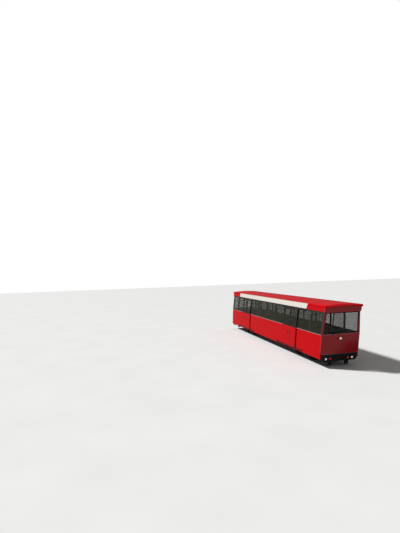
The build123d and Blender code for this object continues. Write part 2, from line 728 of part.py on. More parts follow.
def bogie_frame(centre):
    """Side frames with horns for the axle boxes, and a transom with the pivot's socket and rail brakes."""
    top = BOGIE_TOP_Z
    axle_x = WHEELBASE / 2
    slot = BOX_HALF + HORN_GAP
    foot = WHEEL_RADIUS - HORN_BELOW_AXLE
    # Half of one side frame: distance from the bogie's middle, height
    half = [
        (axle_x - slot - HORN - 2 * HORN, top - BELLY_DEPTH),
        (axle_x - slot - HORN, foot),
        (axle_x - slot, foot),
        (axle_x - slot, top - BEAM_DEPTH),
        (axle_x + slot, top - BEAM_DEPTH),
        (axle_x + slot, foot),
        (axle_x + slot + HORN, foot),
        (axle_x + slot + HORN, top - HORN),
        (axle_x + slot, top),
    ]
    outline = [(centre + a, b) for a, b in both_ways(half)]
    inner = BOGIE_FRAME_Y - BOGIE_FRAME_PLATE / 2
    plate = side_plate(outline, inner, inner + BOGIE_FRAME_PLATE)
    frame = plate + other_side(plate)
    transom_foot = top - TRANSOM_DEPTH
    frame += block(centre - TRANSOM_HALF, centre + TRANSOM_HALF, -inner, inner, transom_foot, top)
    brake = block(
        centre - BRAKE_HALF, centre + BRAKE_HALF, RAIL_Y - BRAKE_HALF_WIDTH, RAIL_Y + BRAKE_HALF_WIDTH,
        BRAKE_CLEARANCE, transom_foot)
    frame += brake + other_side(brake)
    frame += drum(centre, top, BOGIE_PLATE_Z, BEARING_RADIUS)
    return frame - drum(centre, CUT_FOOT_Z, CUT_HEAD_Z, PIVOT_RADIUS + PIVOT_CLEARANCE)


def suspension(centre):
    """Axle boxes and their dampers on one bogie. The boxes hide their bores, which have flat sides."""
    boxes = []
    top = WHEEL_RADIUS + BOX_ABOVE_AXLE
    for x in (centre - WHEELBASE / 2, centre + WHEELBASE / 2):
        box = block(
            x - BOX_HALF, x + BOX_HALF, BOGIE_FRAME_Y - BOX_HALF_WIDTH, BOGIE_FRAME_Y + BOX_HALF_WIDTH,
            WHEEL_RADIUS - BOX_BELOW_AXLE, top)
        bore = RegularPolygon(AXLE_RADIUS + JOURNAL_CLEARANCE, ROD_SIDES, major_radius=False)
        box -= Pos(x, 0, WHEEL_RADIUS) * Rot(90, 0, 0) * extrude(bore, amount=HALF_WIDTH, both=True)
        damper = Pos(x, BOGIE_FRAME_Y, top) * RegularPolygon(SPRING_RADIUS, ROD_SIDES)
        box += extrude(damper, amount=BOGIE_TOP_Z - BEAM_DEPTH - top)
        boxes += [box, other_side(box)]
    return boxes


def wheel(x, side, tread):
    """A wheel turned from its tread, with a recessed web on its outward face.

    Each point of the tread is a distance outwards from the rail's middle and a radius.
    """
    face = tread[-1][0]
    rim = WHEEL_RADIUS - RIM_DEPTH
    section = tread + [
        (face, rim),
        (face - WEB_RECESS, rim),
        (face - WEB_RECESS, AXLE_RADIUS),
        (tread[0][0], AXLE_RADIUS),
    ]
    outline = Polygon(*[(radius, side * a) for a, radius in section], align=None)
    return Pos(x, side * RAIL_Y, WHEEL_RADIUS) * revolve(Plane.XY * outline, Axis.Y)


def wheels(x):
    """The double-flanged wheel on the near rail and the wide plain wheel on the far rail."""
    groove = (RAIL_HEAD + FLANGE_PLAY) / 2
    rim = groove + FLANGE_WIDTH
    flange = WHEEL_RADIUS + FLANGE_DEPTH
    flanged = [(-rim, flange), (-groove, WHEEL_RADIUS), (groove, WHEEL_RADIUS), (rim, flange)]
    plain = [(-DRUM_WIDTH / 2, WHEEL_RADIUS), (DRUM_WIDTH / 2, WHEEL_RADIUS)]
    return [wheel(x, -1, flanged), wheel(x, 1, plain)]


def axle(x):
    """Axle through both wheels into the axle boxes."""
    length = 2 * (BOGIE_FRAME_Y + BOX_HALF_WIDTH) - HORN_GAP
    return Pos(x, 0, WHEEL_RADIUS) * Rot(90, 0, 0) * Cylinder(AXLE_RADIUS, length)


def rope_clevis():
    """Draw beam between the solebars, and below it two ears bored for the haulage rope's pin."""
    x = HALF_LENGTH - CLEVIS_SETBACK
    z = UNDERFRAME_FOOT_Z
    foot = CLEVIS_PIN_Z - EAR_BELOW_PIN
    body = block(x - CLEVIS_HALF, x + CLEVIS_HALF, -SOLEBAR_INNER_Y, SOLEBAR_INNER_Y, z, UNDERFRAME_TOP_Z)
    ear = side_plate([
        (x - CLEVIS_HALF, z), (x + CLEVIS_HALF, z), (x + EAR_FOOT_HALF, foot), (x - EAR_FOOT_HALF, foot),
    ], EAR_Y - EAR / 2, EAR_Y + EAR / 2)
    body += ear + other_side(ear)
    return body - cross_hole(x, CLEVIS_PIN_Z, CLEVIS_PIN_RADIUS)


# Doors

def leaf_sheet(z0, z1, inner, outer):
    """Section of a door leaf that is plumb up to the sill and leans in above it."""
    return [
        (HALF_WIDTH + inner, z0),
        (HALF_WIDTH + outer, z0),
        (HALF_WIDTH + outer, SILL_Z),
        (band_y(z1) + outer, z1),
        (band_y(z1) + inner, z1),
        (HALF_WIDTH + inner, SILL_Z),
    ]


def leaf_window(x0, x1):
    """The window of a leaf whose edges are at x0 and x1."""
    return plumb(x0 + LEAF_STILE, x1 - LEAF_STILE, SILL_Z + LEAF_STILE, LEAF_HEAD_Z - LEAF_STILE)


def leaf_edges(centre, way):
    """Where one leaf starts and ends along the car, at LEAN_Z."""
    meeting = centre + way * LEAF_MEETING_GAP / 2
    return sorted((meeting, meeting + way * LEAF_WIDTH))


def door_leaf(centre, way):
    """One far door leaf with its window cut, and two shoes each in the head and foot tracks."""
    x0, x1 = leaf_edges(centre, way)
    bar = long_bar(leaf_sheet(LEAF_FOOT_Z, LEAF_HEAD_Z, LEAF_GAP, TRACK_WIDTH))
    leaf = bar & side_cut(plumb(x0, x1, CUT_FOOT_Z, CUT_HEAD_Z))
    leaf -= side_cut(leaf_window(x0, x1))
    shoe_inner = (TRACK_WIDTH - SHOE_THICKNESS) / 2
    for x in (x0 + SHOE_INSET, x1 - SHOE_INSET):
        for z, reach in ((LEAF_FOOT_Z, -SHOE_REACH + TRACK_CLEARANCE), (LEAF_HEAD_Z, SHOE_REACH)):
            z0, z1 = sorted((z, z + reach))
            y = min(HALF_WIDTH, band_y(z)) + shoe_inner
            middle = x + lean(z)
            leaf += block(middle - SHOE_LENGTH / 2, middle + SHOE_LENGTH / 2, y, y + SHOE_THICKNESS, z0, z1)
    return leaf


def leaf_glass(centre, way):
    """The pane in one far door leaf."""
    outer = TRACK_WIDTH - LEAF_GLASS_SINK
    section = band_sheet(SILL_Z, LEAF_HEAD_Z, outer - GLASS, outer)
    return long_bar(section) & side_cut(leaf_window(*leaf_edges(centre, way)))


def track_channel(y0, mouth, floor_z):
    """Section of one track: its open mouth and its closed floor are heights."""
    wall = TRACK_WALL if floor_z > mouth else -TRACK_WALL
    y1 = y0 + TRACK_WIDTH
    return [
        (y0, mouth),
        (y0, floor_z),
        (y1, floor_z),
        (y1, mouth),
        (y1 - TRACK_WALL, mouth),
        (y1 - TRACK_WALL, floor_z - wall),
        (y0 + TRACK_WALL, floor_z - wall),
        (y0 + TRACK_WALL, mouth),
    ]


def door_tracks():
    """Foot and head tracks of the far doors: channels that the leaves' shoes run in."""
    foot = LEAF_FOOT_Z - TRACK_CLEARANCE
    head = LEAF_HEAD_Z + HEAD_TRACK_CLEARANCE
    channels = (
        track_channel(HALF_WIDTH, foot, foot - TRACK_HEIGHT),
        track_channel(band_y(head), head, head + TRACK_HEIGHT),
    )
    tracks = []
    for centre in DOOR_CENTRES:
        reach = side_cut(plumb(centre - TRACK_HALF, centre + TRACK_HALF, CUT_FOOT_Z, CUT_HEAD_Z))
        tracks += [long_bar(channel) & reach for channel in channels]
    return tracks


# Inside

def seat_line(a):
    """Height of a seat shell's top at a level distance from the tread's edge."""
    return SEAT_HEIGHT - (a - SEAT_FRONT) * SEAT_DIP / SEAT_DEPTH


def back_line(b):
    """Level distance of the seat back's front face at a height above the tread."""
    foot = SEAT_HEIGHT - SEAT_DIP
    return SEAT_FRONT + SEAT_DEPTH + (b - foot) * BACK_RAKE / (BACK_HEIGHT - foot)


def seat_shell(step, side):
    """A double seat on one tread, facing downhill, on one pedestal."""
    y0, y1 = sorted((side * SEAT_INNER_Y, side * SEAT_OUTER_Y))
    rear = SEAT_FRONT + SEAT_DEPTH
    profile = [
        (SEAT_FRONT, SEAT_HEIGHT),
        (rear, seat_line(rear)),
        (back_line(BACK_HEIGHT), BACK_HEIGHT),
        (back_line(BACK_HEIGHT) + SEAT_SHELL, BACK_HEIGHT),
        (rear + SEAT_SHELL, seat_line(rear) - SEAT_SHELL),
        (SEAT_FRONT, SEAT_HEIGHT - SEAT_SHELL),
    ]
    front, back = PEDESTAL_FRONT, PEDESTAL_FRONT + PEDESTAL_DEPTH
    leg = [(front, 0), (back, 0)] + [(a, seat_line(a) - SEAT_SHELL / 2) for a in (back, front)]
    middle = (y0 + y1) / 2
    shell = side_plate(on_tread(step, profile), y0, y1)
    return shell + side_plate(on_tread(step, leg), middle - PEDESTAL_HALF, middle + PEDESTAL_HALF)


def seat_pads(step, side):
    """The seat and back pads of a double seat."""
    y0, y1 = sorted((side * (SEAT_INNER_Y + PAD_INSET), side * (SEAT_OUTER_Y - PAD_INSET)))
    front, rear = SEAT_FRONT, SEAT_FRONT + PAD_DEPTH
    foot, head = BACK_PAD_FOOT, BACK_PAD_HEAD
    seat = [(a, seat_line(a) + b) for a, b in (
        (front, PAD_GAP), (rear, PAD_GAP), (rear, PAD), (front, PAD))]
    back = [(back_line(b) - a, b) for a, b in (
        (PAD_GAP, foot), (PAD_GAP, head), (BACK_PAD, head), (BACK_PAD, foot))]
    return [side_plate(on_tread(step, pad), y0, y1) for pad in (seat, back)]


def handrails():
    """Plumb poles beside the doors, from a tread to the ceiling."""
    # Tread, level distance from its edge
    places = (
        (3, POLE_BELOW_LOWER_DOOR),
        (6, POLE_ABOVE_LOWER_DOOR),
        (13, POLE_BELOW_UPPER_DOOR),
        (16, POLE_ABOVE_UPPER_DOOR),
    )
    rails = []
    for step, a in places:
        x, z = on_tread(step, [(a, 0)])[0]
        rise = (ceiling_z(POLE_Y) - POLE_RADIUS / 2 - z) / COS
        plane = Plane(origin=(x, POLE_Y, z), x_dir=(0, 1, 0), z_dir=(SIN, 0, COS))
        pole = extrude(plane * RegularPolygon(POLE_RADIUS, ROD_SIDES), amount=rise)
        rails += [pole, other_side(pole)]
    return rails


def partition_section(side):
    """Inside of the body on one side of the passage, in Y and Z, with a small gap to the walls."""
    gap = PARTITION_GAP
    inner = WALL_INNER_Y - gap
    ledge = inner - LEDGE
    post = GLASS + FRAME + gap
    half = [
        (PASSAGE_HALF, FLOOR_TROUGH_Z),
        (inner, FLOOR_TROUGH_Z),
        (inner, SILL_Z - LEDGE_DEPTH - LEDGE - gap),
        (ledge, SILL_Z - LEDGE_DEPTH - gap),
        (ledge, SILL_Z + gap),
        (band_y(SILL_Z + gap) - post, SILL_Z + gap),
        (band_y(BAND_TOP_Z) - post, BAND_TOP_Z),
        (LINING_Y - gap, ROOF_SEAT_Z - gap),
        (PASSAGE_HALF, ceiling_z(PASSAGE_HALF) - gap),
    ]
    return long_bar([(side * y, z) for y, z in half])


def partition_window(z, side):
    """The glazed part of one side of a cab partition, in its own plane."""
    low = SILL_Z + PARTITION_EDGE
    post = GLASS + FRAME + PARTITION_EDGE
    rise = [
        (PASSAGE_HALF + PARTITION_EDGE, low),
        (band_y(low) - post, low),
        (band_y(WINDOW_TOP_Z) - post, WINDOW_TOP_Z),
        (PASSAGE_HALF + PARTITION_EDGE, WINDOW_TOP_Z),
    ]
    return Polygon(*[(side * y, (height - z) / COS) for y, height in rise], align=None)


def partitions():
    """Cab partitions and their panes, with a passage in the middle."""
    # Tread, level distance from its edge
    places = ((1, 590.0), (STEP_COUNT - 2, 210.0))
    sink = (PARTITION - GLASS) / 2
    frames = []
    panes = []
    for step, a in places:
        x, z = on_tread(step, [(a, 0)])[0]
        tall = Pos(0, CUT_HEAD_Z / 2) * Rectangle(2 * CUT_OUTER_Y, CUT_HEAD_Z)
        for side in SIDES:
            pane = partition_window(z, side)
            frames.append(plumb_slab(x, z, tall - pane, PARTITION) & partition_section(side))
            panes.append(plumb_slab(x + sink * COS, z - sink * SIN, pane, GLASS))
    return frames, panes


def console(end):
    """Driver's desk against one end wall."""
    step = STEP_COUNT - 1 if end > 0 else 0
    foot = FLOOR_TROUGH_Z if end > 0 else FLOOR_PEAK_Z
    top = SILL_Z - DESK_BELOW_SILL
    wall = end * INSIDE_X
    # Distance from the end wall, height
    profile = [
        (0, foot),
        (DESK_DEPTH - DESK_TOE, foot),
        (DESK_DEPTH, top - DESK_RISE - DESK_FRONT),
        (DESK_DEPTH, top - DESK_RISE),
        (DESK_SHELF, top),
        (0, top),
    ]
    desk = side_plate([(wall - end * a + lean(z), z) for a, z in profile], -DESK_HALF, DESK_HALF)
    under = on_tread(step, [(0, -TREAD), (TREAD, -TREAD), (TREAD, 0), (0, 0)])
    return desk - side_plate(under, -HALF_WIDTH, HALF_WIDTH)


def driver_seat(end):
    """A stool with a back, on a column in one cab."""
    step, a = (STEP_COUNT - 2, STOOL_UPHILL_IN) if end > 0 else (1, STOOL_DOWNHILL_IN)
    x, z = on_tread(step, [(a, 0)])[0]
    plane = Plane(origin=(x, STOOL_Y, z), x_dir=(0, 1, 0), z_dir=(SIN, 0, COS))
    stool = extrude(plane * RegularPolygon(STOOL_FOOT, ROD_SIDES), amount=STOOL_FOOT_PLATE)
    stool += extrude(plane * RegularPolygon(STOOL_COLUMN, ROD_SIDES), amount=STOOL_HEIGHT)
    stool += extrude(
        plane.offset(STOOL_HEIGHT) * RegularPolygon(STOOL_RADIUS, DISC_SIDES), amount=STOOL_PAD)
    reach = a - end * STOOL_BACK_REACH
    front = reach + end * STOOL_BACK
    back = [
        (a, STOOL_HEIGHT),
        (a, STOOL_HEIGHT - STOOL_BACK),
        (reach, STOOL_HEIGHT - STOOL_BACK),
        (reach, STOOL_BACK_HEIGHT),
        (front, STOOL_BACK_HEIGHT),
        (front, STOOL_HEIGHT),
    ]
    return stool + side_plate(on_tread(step, back), STOOL_Y - STOOL_BACK_HALF, STOOL_Y + STOOL_BACK_HALF)


def ceiling_lights():
    """A row of light strips along the middle of the ceiling."""
    top = CEILING_Z - PAD_GAP
    lights = []
    for bay in range(-4, 5):
        x = bay * BAY + lean(CEILING_Z)
        lights.append(block(
            x - LIGHT_LENGTH / 2, x + LIGHT_LENGTH / 2, -LIGHT_HALF_WIDTH, LIGHT_HALF_WIDTH,
            top - LIGHT_DEPTH, top))
    return lights


# Build and write every node
save("underframe", *underframe())
save("bolsters", bolster(-BOGIE_CENTRE_X), bolster(BOGIE_CENTRE_X))
save("rope_clevis", rope_clevis())
save("floor_steps", floor())
save("roof", roof())

SIDE_PIECES = (
    ("side_wall", [side_wall()]),
    ("side_frame", [side_frame()]),
    ("side_glass", side_glass()),
    ("fascia", [fascia()]),
)
for name, solids in SIDE_PIECES:
    save(name + "_far", *solids)
    save(name + "_near", *[other_side(solid) for solid in solids])
sign = sign_board()
tracks = door_tracks()
save("sign_boards", sign, other_side(sign))
save("door_tracks", *tracks, *[other_side(track) for track in tracks])

for name, end in ENDS:
    save("end_wall_" + name, end_wall(end))
save("end_fascias", *[end_fascia(end) for _, end in ENDS])
save("windscreens", *[windscreen(end) for _, end in ENDS])
save("end_beams", *[end_beam(end) for _, end in ENDS])
save("wipers", *[wiper(end) for _, end in ENDS])
save("headlamps", *[end_lamp(end, 0, HEADLAMP_Z, HEADLAMP_RADIUS, HEADLAMP_STAND) for _, end in ENDS])
for name, y in (("white_lamps", WHITE_LAMP_Y), ("red_lamps", RED_LAMP_Y)):
    save(name, *[
        end_lamp(end, side * y, LAMP_Z, LAMP_RADIUS, LAMP_STAND) for _, end in ENDS for side in SIDES])

benches = [(step, side) for step in SEAT_STEPS for side in SIDES]
save("seat_shells", *[seat_shell(*bench) for bench in benches])
save("seat_cushions", *[pad for bench in benches for pad in seat_pads(*bench)])
save("handrails", *handrails())
partition_frames, partition_panes = partitions()
save("partitions", *partition_frames)
save("partition_glass", *partition_panes)
save("consoles", *[console(end) for _, end in ENDS])
save("driver_seats", *[driver_seat(end) for _, end in ENDS])
save("ceiling_lights", *ceiling_lights())

# Door leaves: name, door's middle, way that the leaf opens
LEAVES = (
    ("downhill_a", -DOOR_CENTRE_X, -1),
    ("downhill_b", -DOOR_CENTRE_X, 1),
    ("uphill_a", DOOR_CENTRE_X, -1),
    ("uphill_b", DOOR_CENTRE_X, 1),
)
for name, centre, way in LEAVES:
    leaf = door_leaf(centre, way)
    pane = leaf_glass(centre, way)
    save("leaf_far_" + name, leaf)
    save("leaf_glass_far_" + name, pane)
    save("leaf_near_" + name, other_side(leaf))
    save("leaf_glass_near_" + name, other_side(pane))

for name, end in ENDS:
    centre = end * BOGIE_CENTRE_X
    save("bogie_frame_" + name, bogie_frame(centre))
    save("suspension_" + name, *suspension(centre))
    for number, x in ((1, centre - WHEELBASE / 2), (2, centre + WHEELBASE / 2)):
        save("wheels_%s_%d" % (name, number), *wheels(x))
        save("axle_%s_%d" % (name, number), axle(x))
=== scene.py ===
import json
import math

import bmesh
import bpy
from mathutils import Matrix, Vector

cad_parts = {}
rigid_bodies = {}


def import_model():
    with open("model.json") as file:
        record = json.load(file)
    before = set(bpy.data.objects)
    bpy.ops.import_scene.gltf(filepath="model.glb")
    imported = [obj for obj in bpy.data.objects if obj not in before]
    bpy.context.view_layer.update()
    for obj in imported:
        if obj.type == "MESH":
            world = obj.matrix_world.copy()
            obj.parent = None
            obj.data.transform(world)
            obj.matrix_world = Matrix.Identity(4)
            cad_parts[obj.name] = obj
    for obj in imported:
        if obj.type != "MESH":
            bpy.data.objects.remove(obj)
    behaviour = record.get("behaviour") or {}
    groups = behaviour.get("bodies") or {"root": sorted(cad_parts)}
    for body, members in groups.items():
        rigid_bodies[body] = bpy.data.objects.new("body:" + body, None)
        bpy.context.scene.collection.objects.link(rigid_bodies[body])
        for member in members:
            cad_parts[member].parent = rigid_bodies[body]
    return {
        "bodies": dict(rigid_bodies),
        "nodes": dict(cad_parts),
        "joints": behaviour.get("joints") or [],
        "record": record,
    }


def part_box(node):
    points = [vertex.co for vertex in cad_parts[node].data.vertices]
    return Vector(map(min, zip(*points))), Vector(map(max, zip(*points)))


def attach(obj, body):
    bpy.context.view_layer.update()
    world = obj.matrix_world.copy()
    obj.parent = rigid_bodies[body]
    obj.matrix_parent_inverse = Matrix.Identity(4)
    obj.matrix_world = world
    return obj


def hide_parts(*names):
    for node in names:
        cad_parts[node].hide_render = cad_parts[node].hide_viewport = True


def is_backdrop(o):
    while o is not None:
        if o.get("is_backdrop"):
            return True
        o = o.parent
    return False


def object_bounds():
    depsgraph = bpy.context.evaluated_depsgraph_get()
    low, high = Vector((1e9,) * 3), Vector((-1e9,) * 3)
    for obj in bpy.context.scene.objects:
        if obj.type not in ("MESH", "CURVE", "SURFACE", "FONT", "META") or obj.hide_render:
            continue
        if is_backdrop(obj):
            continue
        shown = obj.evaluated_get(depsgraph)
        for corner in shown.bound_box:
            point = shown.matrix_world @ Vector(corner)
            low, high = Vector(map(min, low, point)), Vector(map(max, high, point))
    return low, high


bl_info = {
    "name": "Funicular Car Looks",
    "version": (1, 0, 0),
    "blender": (4, 5, 0),
    "location": "3D View > Sidebar > Funicular",
    "description": "Finishes, fittings, soft seats and stage for the funicular car",
    "category": "Object",
}

# Metres, in the car's own frame: X uphill along the rails, Y across to the far side, Z square to them.
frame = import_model()
nodes = frame["nodes"]

# The slope that the car is built for: its ends, posts and door edges stand plumb
SLOPE = math.radians(11.2)
LEAN_Z = 2.300
UP = Vector((0.0, 0.0, 1.0))
PLUMB = Vector((math.sin(SLOPE), 0.0, math.cos(SLOPE)))
LEVEL = Vector((math.cos(SLOPE), 0.0, -math.sin(SLOPE)))

# Sizes that the source gives to the solids
HALF_LENGTH = 8.155
HALF_WIDTH = 1.200
BAY = 1.631
INSIDE_X = 8.0836
CAB_X = 6.7279
DOOR_X = 4.200
DOOR_HALF = 0.930
LEAF_LENGTH = 0.950
LEAF_FACE = HALF_WIDTH + 0.054
LEAF_BACK = HALF_WIDTH + 0.014
BOGIE_X = 4.850
BOGIE_Y = 0.760
HALF_BASE = 0.900
AXLE_Z = 0.300
DESK_Z = 1.883
CEILING_Z = 3.550

# Sizes read from the frame
WALL_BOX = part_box("side_wall_far")
PANE_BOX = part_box("side_glass_far")
ROOF_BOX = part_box("roof")
SIGN_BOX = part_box("sign_boards")
SILL_Z = WALL_BOX[1].z
BAND_TOP_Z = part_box("fascia_near")[0].z
WINDOW_TOP_Z = PANE_BOX[1].z
BAND_TILT = (HALF_WIDTH - PANE_BOX[0].y - 0.010) / (WINDOW_TOP_Z - SILL_Z)
TREAD_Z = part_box("floor_steps")[1].z

# The treads that carry benches, and a bench's places by the level and the plumb way from its tread's edge:
# its pedestal, its pad and its back, with how far these two lean over their length
STEP_PITCH = 0.8155
SEAT_STEPS = (2, 6, 7, 8, 9, 10, 11, 12, 13, 17)
SEAT_Y = 0.650
PEDESTAL = 0.440
SEAT_LEVEL, SEAT_PLUMB, SEAT_FALL = 0.190, 0.405, 0.015 / 0.410
BACK_LEVEL, BACK_PLUMB, BACK_FALL = 0.600, 0.390, 0.090 / 0.510

# Each pole's tread, and its level way from the tread's edge
POLES = ((3, 0.600), (6, 0.040), (13, 0.760), (16, 0.260))
POLE_Y = 0.330

ENDS = (("downhill", -1), ("uphill", 1))
SIDES = (("near", -1), ("far", 1))

# Windows of one side, along the car at LEAN_Z, and door leaves: name, door's middle, way that it opens
UPHILL_WINDOWS = (
    (0.0, BAY), (BAY, DOOR_X - DOOR_HALF), (DOOR_X + DOOR_HALF, CAB_X), (CAB_X, INSIDE_X),
)
WINDOWS = tuple((-b, -a) for a, b in reversed(UPHILL_WINDOWS)) + UPHILL_WINDOWS
LEAVES = (
    ("downhill_a", -DOOR_X, -1), ("downhill_b", -DOOR_X, 1),
    ("uphill_a", DOOR_X, -1), ("uphill_b", DOOR_X, 1),
)

# Lamps of each end: node, lens, bezel, places across and up, radius, depth, the lens's share of the radius
LAMPS = (
    ("white_lamps", "lamp_white", "black_paint", ((0.825, 0.481), (-0.825, 0.481)), 0.062, 0.018, 0.93),
    ("red_lamps", "lamp_red", "black_paint", ((0.560, 0.481), (-0.560, 0.481)), 0.062, 0.018, 0.93),
    ("headlamps", "lamp_white", "end_paint", ((0.0, 1.638),), 0.085, 0.025, 0.78),
)


# Properties

def colour_property(name, description, default):
    """A colour."""
    return bpy.props.FloatVectorProperty(
        name=name, description=description, subtype="COLOR", size=3, min=0.0, max=1.0, default=default)


def number_property(name, description, default, **values):
    """A plain number."""
    return bpy.props.FloatProperty(name=name, description=description, default=default, **values)


def length_property(name, description, default):
    """A length."""
    return number_property(name, description, default, unit="LENGTH")


def angle_property(name, description, default):
    """An angle."""
    return number_property(name, description, default, subtype="ANGLE", unit="ROTATION")


class CarFinish(bpy.types.PropertyGroup):
    """Colours of the car's finishes."""
    red: colour_property("Body red", "Gloss paint on walls, doors and roof", (0.580, 0.003, 0.006))
    cream: colour_property("Sign board", "Pale board along the fascia", (0.880, 0.820, 0.740))
    black: colour_property("Underframe", "Satin paint below the body", (0.008, 0.008, 0.009))
    tint: colour_property("Window tint", "Colour of the side panes", (0.022, 0.023, 0.008))
    fabric: colour_property("Seat fabric", "Woven cloth on the seat pads", (0.035, 0.060, 0.130))


class CarStage(bpy.types.PropertyGroup):
    """Camera, light and floor."""
    lens: number_property("Lens", "Focal length on a 36 mm sensor, in millimetres", 25.665, min=1.0)
    camera_place: bpy.props.FloatVectorProperty(
        name="Camera place", description="Where the camera stands",
        subtype="TRANSLATION", unit="LENGTH", size=3, default=(27.301, -12.289, 5.629))
    heading: angle_property("Heading", "Level direction that the camera looks in", 2.918804)
    tilt: angle_property("Tilt", "How far the camera looks down from level", 0.177193)
    roll: angle_property("Roll", "Turn of the camera about its line of sight", -0.0130785)
    sun: number_property("Sun", "Strength of the main lamp", 4.0, min=0.0)
    sky: number_property("Sky", "Strength of the light from all round", 0.24, min=0.0)
    gloss_sky: number_property("Sky in gloss", "Strength of the sky that gloss and glass show",
                               0.16, min=0.0)
    bounce: number_property("Floor bounce", "How pale the floor is to light that it sends back to the car",
                            0.20, min=0.0, max=1.0)
    floor_size: number_property("Floor", "Width of the floor", 240.0, unit="LENGTH", min=1.0)


class CarSizes(bpy.types.PropertyGroup):
    """Sizes of the added fittings."""
    window_frame: length_property("Window frame", "Width of the black frame round a pane", 0.042)
    window_corner: length_property("Window corner", "Rounding of the frame's inner corners", 0.070)
    vent_z: length_property("Vent rail", "Height of the bar under the top vents", 2.860)
    rib: length_property("Rib", "Height of a side rib", 0.034)
    rib_stand: length_property("Rib stand", "How far a rib stands proud", 0.009)
    rib_pitch: length_property("Rib pitch", "Distance between ribs", 0.290)
    seam: length_property("Roof seam", "Width of a roof seam", 0.030)
    spring_radius: length_property("Spring", "Radius of a coil spring", 0.053)
    spring_bar: length_property("Spring bar", "Thickness of a spring's bar", 0.013)


# Helpers for nodes

def new_material(name, **values):
    """Makes a material, and gives its node tree and its shader, with fixed values set on the shader."""
    if name in bpy.data.materials:
        bpy.data.materials[name].name = name + "_packed"
    material = bpy.data.materials.new(name)
    material.use_nodes = True
    tree = material.node_tree
    shader = tree.nodes["Principled BSDF"]
    for key, value in values.items():
        shader.inputs[key.replace("_", " ")].default_value = value
    return tree, shader


def put(tree, kind, **values):
    """Adds a node. Values name its inputs, or its settings where it has no such input."""
    node = tree.nodes.new(kind)
    for key, value in values.items():
        socket = key.replace("_", " ")
        if socket in node.inputs:
            node.inputs[socket].default_value = value
        else:
            setattr(node, key, value)
    return node


def join(tree, source, target):
    """Links two sockets, or gives the second a number or a colour where there is no first."""
    if isinstance(source, bpy.types.NodeSocket):
        tree.links.new(source, target)
    elif isinstance(source, (int, float)):
        target.default_value = source
    else:
        target.default_value = (*source, 1.0)


def object_place(tree, scale=(1.0, 1.0, 1.0)):
    """Object coordinates through a Mapping node."""
    place = put(tree, "ShaderNodeTexCoord")
    mapping = put(tree, "ShaderNodeMapping")
    mapping.inputs["Scale"].default_value = scale
    join(tree, place.outputs["Object"], mapping.inputs["Vector"])
    return mapping.outputs["Vector"]


def split(tree, vector):
    """The three parts of a vector."""
    parts = put(tree, "ShaderNodeSeparateXYZ")
    join(tree, vector, parts.inputs[0])
    return parts.outputs


def facing_parts(tree):
    """The way that the surface faces, in its three parts."""
    return split(tree, put(tree, "ShaderNodeNewGeometry").outputs["Normal"])


def new_group(name, inputs, outputs):
    """A shader node group with named sockets, each of a kind."""
    tree = bpy.data.node_groups.new(name, "ShaderNodeTree")
    for way, sockets in (("INPUT", inputs), ("OUTPUT", outputs)):
        for socket, kind in sockets:
            tree.interface.new_socket(socket, in_out=way, socket_type=kind)
    return tree, tree.nodes.new("NodeGroupInput"), tree.nodes.new("NodeGroupOutput")


def use_group(tree, name, **values):
    """Places a group in a material with its own values."""
    node = tree.nodes.new("ShaderNodeGroup")
    node.node_tree = bpy.data.node_groups[name]
    for key, value in values.items():
        node.inputs[key.replace("_", " ")].default_value = value
    return node


FLOAT, COLOUR = "NodeSocketFloat", "NodeSocketColor"


def mix_colour(tree, factor, a, b):
    """A colour mix whose factor and colours are sockets or values."""
    node = put(tree, "ShaderNodeMix", data_type="RGBA")
    for socket, value in ((node.inputs[0], factor), (node.inputs[6], a), (node.inputs[7], b)):
        join(tree, value, socket)
    return node.outputs[2]


def maths(tree, operation, *values, clamp=False):
    """A Math node whose inputs are sockets or values."""
    node = put(tree, "ShaderNodeMath", operation=operation, use_clamp=clamp)
    for socket, value in zip(node.inputs, values):
        join(tree, value, socket)
    return node.outputs[0]


def stretch(tree, value, low, high, to_low=0.0, to_high=1.0):
    """Maps a value's range from low to high onto another, and stops at its ends."""
    node = put(tree, "ShaderNodeMapRange", From_Min=low, From_Max=high, To_Min=to_low, To_Max=to_high)
    join(tree, value, node.inputs["Value"])
    return node.outputs["Result"]


# Shared effects

